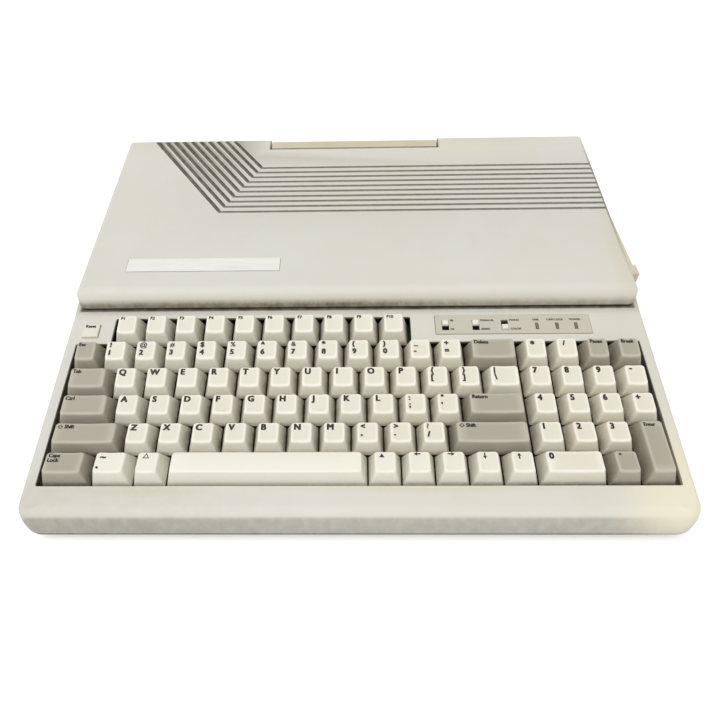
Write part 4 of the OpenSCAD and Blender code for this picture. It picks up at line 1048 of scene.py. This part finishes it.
def key_cap(col, row, width, depth):
    """One cap with its stems, as a mesh in the keyboard's axes, and the two masks of its points."""
    w, d = width * PITCH, depth * PITCH
    x0, x1, y0, y1 = top_limits(width, depth)
    mid = ((x0 + x1) / 2, (y0 + y1) / 2)
    gap, lining = GAP / 2, GAP / 2 + 1.2
    foot = rounded(gap, w - gap, gap, d - gap, 1.1)
    inner = rounded(lining, w - lining, lining, d - lining, 0.6)
    roof = rounded(x0 + 0.6, x1 - 0.6, y0 + 0.6, y1 - 0.6, 0.6)
    ceiling = min(CAP_FRONT_H[row - 1], CAP_BACK_H[row - 1]) - 2.2

    def height(x, y):
        return top_height(x, y, row, width, depth)

    edge = [(x, y, height(x, y)) for x, y in rounded(x0, x1, y0, y1, 1.9)]
    base = [(x, y, SKIRT_W) for x, y in foot]
    rings, rims, skirts = [], [], []

    def put(points, rim, skirt):
        """Adds a ring; the skirt's painted shade is weaker on the side that faces the typist and the
        light than on the three in the gaps.
        """
        rings.append(points)
        rims.extend([rim] * len(points))
        skirts.extend([skirt * (0.15 if y < gap + 0.3 and skirt < 1 else 1) for _, y in foot])

    put([(x, y, ceiling) for x, y in roof], 0, 1)
    put([(x, y, SKIRT_W) for x, y in inner], 0, 1)
    put(base, 0, 1)
    # rim is a painted highlight, skirt painted shade with dirt
    for t, rim, skirt in ((0.35, 0, 0.55), (0.7, 0, 0.12), (0.86, 0.15, 0)):
        put([tuple(a + (b - a) * t for a, b in zip(p, q)) for p, q in zip(base, edge)], rim, skirt)
    for rows in over_rim(edge, base, mid, height):
        put(rows, 1.0, 0)
    for share, rim in ((0.16, 0.5), (0.3, 0.05), (0.5, 0), (0.75, 0), (0.93, 0)):
        inward = [tuple(m + (p - m) * (1 - share) for m, p in zip(mid, point)) for point in edge]
        put([(x, y, height(x, y)) for x, y in inward], rim, 0)
    parts = [loft(rings)]
    reach = (width / 2 - 1) * PITCH
    for s in ([0] if width < 4 else [-reach, 0, reach]):
        parts.append(post(w / 2 + s, d / 2, STEM_HALF, STEM_HALF, STEM_FOOT, ceiling))
    cap = moved(joined(parts), lambda x, y, z: on_slope(col * PITCH + x, row_v(row) + y, z))
    extra = len(cap[0]) - len(rims)
    return cap, rims + [0] * extra, skirts + [1] * extra


print("points of one cap:", len(key_cap(0, 3, 1, 1)[0][0]))

# %% [markdown]
# ## Legends
# The legends are printed with pads. An image of them would blur up close, so they are flat shapes
# that lie on the dish. Letters come from the built-in font as filled outlines; arrows and
# triangles are short strokes. The height function that made the dish lays each a hair above it.

# %% Helpers: print and strokes
printed = {}


def letters(body, size, bold=0.13):
    """Flat faces of a line of print, in millimetres; copies side by side make its strokes bold."""
    key = (body, size, bold)
    if key not in printed:
        curve = bpy.data.curves.new("print", "FONT")
        curve.body, curve.size, curve.resolution_u = body, size, 3
        obj = linked("print", curve)
        bpy.context.view_layer.update()
        mesh = obj.evaluated_get(bpy.context.evaluated_depsgraph_get()).to_mesh()
        faces = [tuple(p.vertices) for p in mesh.polygons]
        step = bold * size
        copies = ((0, -0.3), (0, 0.3), (0.5, -0.4), (0.5, 0), (0.5, 0.4), (1, -0.3), (1, 0.3))
        printed[key] = joined([([(v.co.x + dx * step, v.co.y + dy * step) for v in mesh.vertices],
                                faces) for dx, dy in copies])
        bpy.data.objects.remove(obj)
        bpy.data.curves.remove(curve)
    return printed[key]


def stroke(path, width):
    """A flat closed line of even width through the points, with square joints."""
    parts = []
    for (ax, ay), (bx, by) in zip(path, path[1:] + path[:1]):
        length = hypot(bx - ax, by - ay)
        ex, ey = (bx - ax) / length * width / 2, (by - ay) / length * width / 2
        parts.append(([(ax + ey - ex, ay - ex - ey), (bx + ey + ex, by - ex + ey),
                       (bx - ey + ex, by + ex + ey), (ax - ey - ex, ay + ex - ey)], [(0, 1, 2, 3)]))
    return joined(parts)


def arrow(quarter_turns, length=4.0):
    """A straight arrow, turned from pointing right, with its lowest corner at the origin."""
    neck, half = length - 1.6, length / 2
    shaft = [(0, -0.4), (neck, -0.4), (neck, 0.4), (0, 0.4)]
    head = [(neck - 0.4, -1.15), (length, 0), (neck - 0.4, 1.15)]
    a = quarter_turns * pi / 2
    c, s = cos(a), sin(a)
    verts, faces = moved(joined([(shaft, [(0, 1, 2, 3)]), (head, [(0, 1, 2)])]),
                         lambda x, y: ((x - half) * c - y * s, (x - half) * s + y * c))
    low_x, low_y = (min(p[k] for p in verts) for k in (0, 1))
    return [(x - low_x, y - low_y) for x, y in verts], faces


SHIFT_ARROW = stroke([(0.7, 0.9), (0, 0.9), (1.35, 2.2), (2.7, 0.9), (2.0, 0.9), (2.0, 0),
                      (0.7, 0)], 0.42)
OPEN_TRIANGLE = stroke([(0, 0), (1.5, 2.6), (3.0, 0)], 0.45)
SOLID_TRIANGLE = ([(0, 0), (3.0, 0), (1.5, 2.6)], [(0, 1, 2)])
print("strokes ready")

# %% [markdown]
# ### What is printed where
# Letters are large and bold in the top left corner. Number keys carry the shifted sign above the
# number. Words and function numbers are small. A mark is (shape, distance from the left rim,
# distance of its foot from the rear rim), all in millimetres on the cap's top. A key is (column,
# row, width, depth, marks): the column and the sizes count in key pitches, the row from the rear.

# %% Marks for every kind of key


def sign(text, size=5.2, left=1.3, foot=4.7):
    return [(letters(text, size), left, foot)]


def pair(high, low, drop=9.6):
    thin = 0.055 if high in "@%&#?" else 0.13
    return [(letters(high, 4.6, thin), 1.7, 4.2), (letters(low, 4.8), 1.7, drop)]


def word(text, size=3.3, left=1.1, foot=3.3):
    return [(letters(text, size, 0.11), left, foot)]


def row_of(col, row, marks):
    """Keys of one pitch side by side, each with its own marks."""
    return [(col + i, row, 1, 1, mark) for i, mark in enumerate(marks)]


SHIFT_MARKS = [(SHIFT_ARROW, 1.2, 3.4)] + word("Shift", 3.2, 5.2)
LAYOUT = {
    "function_keys": row_of(FN_START, 1, [word("F%d" % i, 3.0, 1.3, 3.0) for i in range(1, 11)]),
    "digit_keys": row_of(1, 2, [pair(*p) for p in (
        "!1", "@2", "#3", "$4", "%5", "^6", "&7", "*8", "(9", ")0", "_-", "+=")]),
    "upper_letter_keys": row_of(1.5, 3, [sign(c) for c in "QWERTYUIOP"] + [
        pair("{", "[", 9.0), pair("}", "]", 9.0)]),
    "home_letter_keys": row_of(1.75, 4, [sign(c) for c in "ASDFGHJKL"] + [
        pair(":", ";", 9.0), pair('"', "'", 9.4)]),
    "lower_letter_keys": row_of(2.25, 5, [sign(c) for c in "ZXCVBNM"] + [
        pair("<", ",", 8.6), pair(">", ".", 8.6), pair("?", "/", 9.4)]),
    "keypad_upper_keys": row_of(14.75, 2, [sign("*", 5.4, 2.4, 5.6), sign("/", 4.4, 3.2, 4.6)])
    + row_of(14.75, 3, [sign("7"), sign("8"), sign("9"), sign("-", 5.0, 2.2, 3.6)]),
    "keypad_lower_keys": row_of(14.75, 4, [sign(c) for c in "456+"])
    + row_of(14.75, 5, [sign(c) for c in "123"]),
    "escape_key": [(0, 2, 1, 1, word("Esc"))],
    "delete_key": [(13, 2, 1.75, 1, word("Delete"))],
    "pause_key": [(16.75, 2, 1, 1, word("Pause"))],
    "break_key": [(17.75, 2, 1, 1, word("Break"))],
    "tab_key": [(0, 3, 1.5, 1, word("Tab"))],
    "backslash_key": [(13.5, 3, 1.25, 1, pair("|", "\\", 9.0))],
    "control_key": [(0, 4, 1.75, 1, word("Ctrl"))],
    "return_key": [(12.75, 4, 2, 1, word("Return"))],
    "left_shift_key": [(0, 5, 2.25, 1, SHIFT_MARKS)],
    "right_shift_key": [(12.25, 5, 2.5, 1, SHIFT_MARKS)],
    "caps_lock_key": [(0, 6, 1.5, 1, word("Caps", 3.2, 1.2, 3.0) + word("Lock", 3.2, 1.2, 6.0))],
    "tilde_key": [(1.5, 6, 1.25, 1, sign("~", 5.2, 2.2, 4.6) + sign("`", 6.0, 0.9, 13.2))],
    "open_triangle_key": [(2.75, 6, 1, 1, [(OPEN_TRIANGLE, 2.6, 3.6)])],
    "space_bar": [(3.75, 6, 6, 1, [])],
    "solid_triangle_key": [(9.75, 6, 1, 1, [(SOLID_TRIANGLE, 2.4, 3.6)])],
    "arrow_left_key": [(10.75, 6, 1, 1, [(arrow(2), 2.6, 2.6)])],
    "arrow_right_key": [(11.75, 6, 1, 1, [(arrow(0), 2.6, 2.6)])],
    "arrow_down_key": [(12.75, 6, 1, 1, [(arrow(3), 3.0, 4.8)])],
    "arrow_up_key": [(13.75, 6, 1, 1, [(arrow(1), 3.0, 4.8)])],
    "keypad_zero_key": [(14.75, 6, 2, 1, sign("0"))],
    "keypad_point_key": [(16.75, 6, 1, 1, sign(".", 6.0, 2.0, 2.2))],
    "enter_key": [(17.75, 6, 1, 2, word("Enter", 3.1))],
}
GREY_KEYS = {name + "_key" for name in (
    "escape", "delete", "pause", "break", "tab", "control", "return", "left_shift", "right_shift",
    "caps_lock", "keypad_point", "enter")}
HOMING = {(4.75, 4), (7.75, 4), (15.75, 4)}
print("keys:", sum(len(v) for v in LAYOUT.values()))

# %% [markdown]
# ### Print and bars on the dish
# A modifier could wrap the print round a cap, but the dish has a formula, so each point is simply
# lifted onto it. On F, J and 5 a small moulded bar tells a finger where it is.

# %% Helpers: marks and bars on a cap


def mark_on_cap(mark, col, row, width, depth):
    """Lays one mark on the dish, a hair above it."""
    (points, faces), left, foot = mark
    x0, _, _, y1 = top_limits(width, depth)
    low = min(x for x, _ in points)
    verts = []
    for x, y in points:
        px, py = x0 + left + x - low, y1 - foot + y
        verts.append(on_slope(col * PITCH + px, row_v(row) + py,
                              top_height(px, py, row, width, depth, 0.06)))
    return verts, faces


def homing_bar(col, row):
    """The small raised bar that a finger finds on F, J and 5."""
    x, y = PITCH / 2, CAP_FRONT + 2.2
    points = ring(outline(1.9, y - 0.45, y + 0.45, 0.44, 0.44, 4), 0, 0)
    return loft([[on_slope(col * PITCH + x + px * (1 - shrink / 2),
                           row_v(row) + y + (py - y) * (1 - shrink),
                           top_height(x + px, py, row, 1, 1, lift)) for px, py, _ in points]
                 for lift, shrink in ((-0.2, 0), (0.35, 0), (0.6, 0.25))])


def key_parts(caps):
    """The meshes of one key body, each with its material slot and the two masks of its points."""
    for col, row, width, depth, marks in caps:
        cap, rims, skirts = key_cap(col, row, width, depth)
        yield cap, 0, rims, skirts
        if (col, row) in HOMING:
            bar = homing_bar(col, row)
            # the bar takes a little of the rims' painted highlight
            yield bar, 0, [0.3] * len(bar[0]), [0] * len(bar[0])
        for mark in marks:
            legend = mark_on_cap(mark, col, row, width, depth)
            yield legend, 1, [0] * len(legend[0]), [0] * len(legend[0])


print("homing bars:", len(HOMING))

# %% [markdown]
# ### All the keys
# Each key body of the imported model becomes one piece: its caps, bars and print in a single mesh,
# with a slot for the plastic and one for the ink. Ninety objects would do as well, but a row that
# moves as one body is easier to handle as one piece.

# %% Build the keys, one piece for each key body
for node, caps in LAYOUT.items():
    meshes, indices, rims, skirts = zip(*key_parts(caps))
    slots = [index for mesh, index in zip(meshes, indices) for _ in mesh[1]]
    plastics = (key_grey if node in GREY_KEYS else key_cream, ink)
    piece = make_object(node + "_cap", *joined(meshes), plastics, 50, slots)
    # rim: painted highlight on the rims; skirt: painted shade with dirt low on the sides
    store(piece, "rim", sum(rims, []))
    store(piece, "skirt", sum(skirts, []))
    move_to_frame(piece)
    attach(piece, node + "_body")
    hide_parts(node)
    "key_grey" if node in GREY_KEYS else "key_cream"
print("key pieces:", len(LAYOUT))

# %% [markdown]
# ## Reset button
# The Reset button is a flat square cap with its name on it, and a soft edge made by three small
# levels. Its switch stands a little to the right of the middle, so the stem does too.

# %% Reset button
CAP_HALF, SWITCH_OFF = 5.1, 3
cap = rounded(*about(RESET_U, RESET_V, CAP_HALF, CAP_HALF), 0.8, 4, 4)
rings = []
for w, inset in ((0.0, 1.0), (0.0, 0.0), (DECK_W + 0.9, 0.0), (DECK_W + 1.25, 0.12),
                 (DECK_W + 1.4, 0.5)):
    k = 1 - inset / CAP_HALF
    rings.append([on_slope(RESET_U + (x - RESET_U) * k, RESET_V + (y - RESET_V) * k, w)
                  for x, y in cap])
stem = moved(post(RESET_U + SWITCH_OFF, RESET_V, STEM_HALF, STEM_HALF, STEM_FOOT, 0.5), on_slope)
legend = moved(letters("Reset", 3.0, 0.1),
               lambda x, y: on_slope(RESET_U - 4.1 + x, RESET_V + 2.2 + y, DECK_W + 1.44))
body = joined([loft(rings), stem])
slots = [0] * len(body[1]) + [1] * len(legend[1])
reset = make_object("reset_button_cap", *joined([body, legend]), (key_cream, ink), 40, slots)
move_to_frame(reset)
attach(reset, "reset_button_body")
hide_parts("reset_button")
print("reset button at", [round(c, 4) for c in reset.bound_box[0]])

# %% [markdown]
# ## Knobs of the slide switches
# The three slide knobs are ridged, so a fingernail can push them. A light cap sits on a dark stem
# that is narrower than the slot, so the slot looks dark on both sides of the knob, as it does on
# the real panel. Each profile is drawn across the slide and repeated along it.

# %% Slide knobs with ridges


def slide_knob(name, u, v):
    """A small square knob on a dark, narrower stem; three ridges run across its top."""
    side, under, low, high = 2.0, DECK_W - 0.5, DECK_W + 0.85, DECK_W + 1.2
    shoulder = DECK_W + 0.7
    profile = [(-side, under), (side, under), (side, shoulder), (1.5, high), (1.0, low),
               (0.5, high), (0.0, low), (-0.5, high), (-1.0, low), (-1.5, high), (-side, shoulder)]
    rings = []
    for x in (side, side - 0.2, -side + 0.2, -side):
        narrow, drop = (0.94, 0.15) if abs(x) == side else (1, 0)
        rings.append([on_slope(u + x, v + a * narrow, w - (drop if w > under else 0))
                      for a, w in profile])
    cap = loft(rings)
    stem = moved(post(u, v, 1.7, 1.4, -6.6, under + 0.1), on_slope)
    slots = [0] * len(cap[1]) + [1] * len(stem[1])
    plastics = (knob_white, finishes["switch_dark_plastic"])
    piece = make_object(name + "_knob", *joined([cap, stem]), plastics, 60, slots)
    move_to_frame(piece)
    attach(piece, name + "_body")
    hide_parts(name)


SLIDE = 3.5
for name, u, raised in zip(("column", "printer", "display"), KNOBS_U, (1, 1, 0)):
    slide_knob(name + "_switch", u, KNOB_V + SLIDE * raised)
print("three knobs")

# %% [markdown]
# ## Print on the control panel
# The panel's words are tiny: each switch names its two settings beside the slot, and each lamp has
# its name above it. They are one piece of flat print that rides on the case.

# %% Print on the control panel
words = []
for u, high, low in zip(KNOBS_U, ("80", "PARALLEL", "MONO"), ("40", "SERIAL", "COLOR")):
    words += [(high, u + 3.2, PANEL_V + 2.6), (low, u + 3.2, PANEL_V - 4.4)]
for u, text, back in zip(LAMPS_U, ("DISK", "CAPS LOCK", "POWER"), (2.4, 6.2, 3.6)):
    words.append((text, u - back, PANEL_V + 2.8))
parts = [moved(letters(text, 2.0, 0.1), lambda x, y: on_slope(u + x, v + y, DECK_W + 0.23))
         for text, u, v in words]
legends = make_object("panel_legends", *joined(parts), (grey_ink,))
move_to_frame(legends)
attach(legends, "computer")
print("panel words:", len(words))

# %% [markdown]
# ## The handle
# The handle is a bar that folds flush into the hood's rear edge. Its front and top edges are soft,
# and it hangs on two short arms with studs. Its side view is drawn once and lofted along the bar,
# and the arms and studs are joined on with booleans, so that it is one moulding like the real one.

# %% Bar of the handle
ARM_R, ARM_W, STUD_R, STUD_OUT, PLAY = 4.3, 9, 2.0, 2.4, 0.9
PIVOT_Y, PIVOT_Z = POCKET_Y + ARM_R + 2.9, POCKET_Z + ARM_R + 0.3
GRIP_Y0, GRIP_Y1 = POCKET_Y + PLAY, PIVOT_Y + ARM_R
GRIP_TOP = hood_z(POCKET_Y) - 0.4
HANDLE_HALF = POCKET_HALF - PLAY


def grip_profile(soft):
    """Side view of the bar with soft corners, drawn in by soft."""
    y0, y1, z0 = GRIP_Y0 + soft, GRIP_Y1 - soft, GRIP_TOP - 6.5 + soft
    points = []
    for y, z, r, start, sy, sz in ((y0, z0, 1.5, 180, 1, 1), (y1, z0, 1.5, 270, -1, 1),
                                   (y1, hood_z(y1) - 0.4 - soft, 1.8, 0, -1, -1),
                                   (y0, hood_z(y0) - 0.4 - soft, 1.8, 90, 1, -1)):
        for i in range(7):
            a = radians(start + 15 * i)
            points.append((y + sy * r + r * cos(a), z + sz * r + r * sin(a)))
    return points


levels = ((-HANDLE_HALF, 0.9), (-HANDLE_HALF + 0.25, 0.3), (-HANDLE_HALF + 0.9, 0),
          (HANDLE_HALF - 0.9, 0), (HANDLE_HALF - 0.25, 0.3), (HANDLE_HALF, 0.9))
rings = [[(x, y, z) for y, z in reversed(grip_profile(soft))] for x, soft in levels]
handle = make_object("carrying_handle", *loft(rings), sharp=40)
print("bar: %.1f mm long" % (2 * HANDLE_HALF))

# %% [markdown]
# ### Arms and studs
# Each end of the bar has an arm with a round eye, and a stud on it turns in the wall of the pocket.
# They are discs and a box about the pivot, joined to the bar one by one.

# %% Arms and studs of the handle


def disc(x0, x1, r, steps=32, soft=0.4):
    """A short round bar along X at the pivot, with soft ends."""
    turns = [2 * pi * i / steps for i in reversed(range(steps))]
    levels = ((x0, soft), (x0 + soft, 0), (x1 - soft, 0), (x1, soft))
    return loft([[(x, PIVOT_Y + (r - shrink) * sin(t), PIVOT_Z + (r - shrink) * cos(t))
                  for t in turns] for x, shrink in levels])


for arm, stud in ((-HANDLE_HALF, -HANDLE_HALF - STUD_OUT), (HANDLE_HALF - ARM_W, HANDLE_HALF - 1)):
    carve(handle, disc(arm, arm + ARM_W, ARM_R), "UNION")
    carve(handle, box_mesh((arm, PIVOT_Y - ARM_R, PIVOT_Z),
                           (arm + ARM_W, PIVOT_Y + ARM_R, GRIP_TOP - 5.5)), "UNION")
    carve(handle, disc(stud, stud + STUD_OUT + 1, STUD_R, 20, 0.2), "UNION")
move_to_frame(handle)
dress(handle, handle_tan, 35)
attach(handle, "handle_body")
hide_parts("handle")
print("handle points:", len(handle.data.vertices))

# %% [markdown]
# ## The lower tray
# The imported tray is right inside, but its foot meets the corners in a sharp point. Building it anew
# would repeat every rib, post and vent. Instead, a copy of its mesh is welded and cut to a lofted
# block whose corners are round down to the foot.

# %% Lower tray


def bottom_darkening(tree, position):
    """A dark line along the seam, and a darker tone towards the floor."""
    _, _, z = axes(tree, position)
    return z.step(0.0088, 0.0098) * 0.9 | z.step(0.0090, 0.0030) * 0.45 + 0.2


# the tray: a dark seam line, and darker towards the floor
bottom_beige = plastic("bottom_case_plastic", CASE_BASE, CASE_YELLOW, 0.4, 0.52, where=bottom_darkening,
                       dark_tone=CASE_DIRT_AND_SHADE, strength=0.8)
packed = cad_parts["bottom_case"]
tray = linked("lower_tray", packed.data.copy())
tray.data.transform(packed.matrix_world)
welded = bmesh.new()
welded.from_mesh(tray.data)
bmesh.ops.remove_doubles(welded, verts=welded.verts, dist=1e-6)
welded.to_mesh(tray.data)
print("tray welded, open edges:", sum(not e.is_manifold for e in welded.edges))
welded.free()
rings = []
for z in (2.0, FOOT_Z, SEAM_Z, 60.0):
    inset = (UNDERCUT if z < SEAM_Z else 0) - 0.02
    edge = outline(HALF_W - inset, FRONT_Y + inset, REAR_Y - inset, FRONT_CORNER, REAR_CORNER, 12)
    rings.append(ring(edge, 0, z))
carve(tray, moved(loft(rings), lambda x, y, z: (x + SHIFT, y, z)), "INTERSECT")
dress(tray, bottom_beige)
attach(tray, "computer")
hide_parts("bottom_case")
print("tray faces:", len(tray.data.polygons))

# %% [markdown]
# ## Carried-over pieces
# The other nodes already have their true shape, so they only get their finish. A table pairs each
# node with its material, and a check makes sure that none is left in a flat colour.

# %% Finish the nodes that are shown as they are
NODES_OF = {
    "badge_silver_foil": "badge_plate", "panel_grey_plastic": "control_panel",
    "bezel_beige_plastic": "expansion_cover drive_bezel", "foot_black_rubber": "rubber_feet",
    "screw_zinc_steel": "case_screws", "lens_smoked_red": "indicator_lenses",
    "socket_black_plastic": "power_rocker rear_sockets volume_wheel",
    "switch_dark_plastic": "slide_switch_bodies speaker hub_clamp head_carriage key_switches",
    "chassis_cast_metal": "drive_chassis spindle_hub stepper_motor",
    "lever_dark_plastic": "drive_lever", "rail_ground_steel": "carriage_rails",
    "board_green_mask": "main_board keyboard_board", "chip_black_epoxy": "board_parts",
    "plate_dark_steel": "keyboard_plate",
}
finished = set()
for name, nodes in NODES_OF.items():
    for node in nodes.split():
        for slot_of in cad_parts[node].material_slots:
            slot_of.material = finishes[name]
        finished.add(node)
plain = [n for n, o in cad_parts.items() if n not in finished and not o.hide_render]
print("finished nodes:", len(finished), "left plain:", plain)

# %% [markdown]
# ## Floor and light
# A plain studio: one wide sun from the front and above, and an even sky. The floor shows white to
# the camera but still takes the shadow: its own colour gives most of the light, and a little glow,
# seen only by the camera and by reflections, lifts the lit part to white.

# %% Floor and sky
SKY, SUN, GLOW, FLOOR_HALF = 0.5, 0.57, 0.3, 4000


def backdrop_rays(tree):
    """1 for rays of the camera, of mirror-like reflections and of clear glass."""
    path = add(tree, "ShaderNodeLightPath").outputs
    camera, glossy, clear = (Signal(tree, path["Is %s Ray" % kind])
                             for kind in ("Camera", "Glossy", "Transmission"))
    return (camera + glossy + clear).at_most(1.0)


floor_material, tree, shader, _ = new_material("floor_white")
shader.inputs["Base Color"].default_value = (0.8, 0.8, 0.8, 1)
shader.inputs["Roughness"].default_value = 0.9
shader.inputs["Specular IOR Level"].default_value = 0.0
glow = add(tree, "ShaderNodeEmission", {"Strength": backdrop_rays(tree) * GLOW})
total = add(tree, "ShaderNodeAddShader", {0: shader.outputs[0], 1: glow.outputs[0]})
feed(tree, tree.nodes["Material Output"].inputs["Surface"], total.outputs[0])
corners = [(x * FLOOR_HALF, y * FLOOR_HALF, 0) for x, y in ((-1, -1), (1, -1), (1, 1), (-1, 1))]
make_object("floor", corners, [(0, 1, 2, 3)], (floor_material,))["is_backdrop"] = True

world = bpy.data.worlds.new("studio_sky")
bpy.context.scene.world = world
world.use_nodes = True
tree = world.node_tree
sky = tree.nodes["Background"]
sky.inputs["Color"].default_value = (1.0, 0.995, 0.98, 1)
strength = add(tree, "ShaderNodeMix", {0: backdrop_rays(tree), 2: SKY, 3: 1.0}, data_type="FLOAT")
feed(tree, sky.inputs["Strength"], strength.outputs[0])
print("floor and sky")

# %% [markdown]
# ### Sun
# The shadow is short and very soft, as from a large window. An area lamp would light the near side
# more than the far one; a sun with a wide angle gives the same soft edge everywhere.

# %% Sun
sun_data = bpy.data.lights.new("studio_sun", "SUN")
sun_data.energy = SUN * pi
sun_data.angle = radians(45)
sun_data.color = (1.0, 0.99, 0.96)
sun = linked("studio_sun", sun_data)
toward = Vector((-0.16, -0.38, 1.0)).normalized()
sun.rotation_euler = toward.to_track_quat("Z", "Y").to_euler()
print("sun from", [round(c, 2) for c in toward])

# %% [markdown]
# ## Camera
# The place, aim and lens were solved from the photograph: the corners of thirty-three key tops have
# known places on the keyboard, and this camera puts them within a pixel of where they are seen.
# Its axes are turned one after the other: to the side, down, and about the line of sight.

# %% Camera
CAMERA_AT = (-0.993, -310.263, 324.025)
YAW, PITCH_DOWN, ROLL = 0.034353, 0.873331, 0.031656
FOCAL_PX, CENTRE_PX = 612.425, (342.70, 378.91)
FRAME_PX, SENSOR_MM = 720, 36


def rotation(angle, axis):
    return Matrix.Rotation(angle, 3, axis)


aim = rotation(YAW, "Z") @ rotation(-PITCH_DOWN, "X") @ rotation(ROLL, "Y")
right, forward, up = aim.col[0], aim.col[1], aim.col[2]
camera_data = bpy.data.cameras.new("camera")
camera_data.sensor_width = SENSOR_MM
camera_data.lens = FOCAL_PX * SENSOR_MM / FRAME_PX
camera_data.shift_x = (FRAME_PX / 2 - CENTRE_PX[0]) / FRAME_PX
camera_data.shift_y = (CENTRE_PX[1] - FRAME_PX / 2) / FRAME_PX
camera_data.clip_start = 0.01
camera = linked("camera", camera_data)
place = Matrix((right, up, -forward)).transposed().to_4x4()
place.translation = Vector(CAMERA_AT) * MM
camera.matrix_world = place
bpy.context.scene.camera = camera
bpy.context.scene.view_settings.view_transform = "Standard"
print("lens %.2f mm" % camera_data.lens)

# %% [markdown]
# ## Measure and finish
# The dressed model must fit the imported one. Both boxes are measured, and the last line prints the
# dressed model's size.

# %% Finish
low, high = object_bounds()
{"cad": [cad_low, cad_high], "visual": [list(low), list(high)]}
print("visual size, mm:", [round((b - a) / MM, 1) for a, b in zip(low, high)])
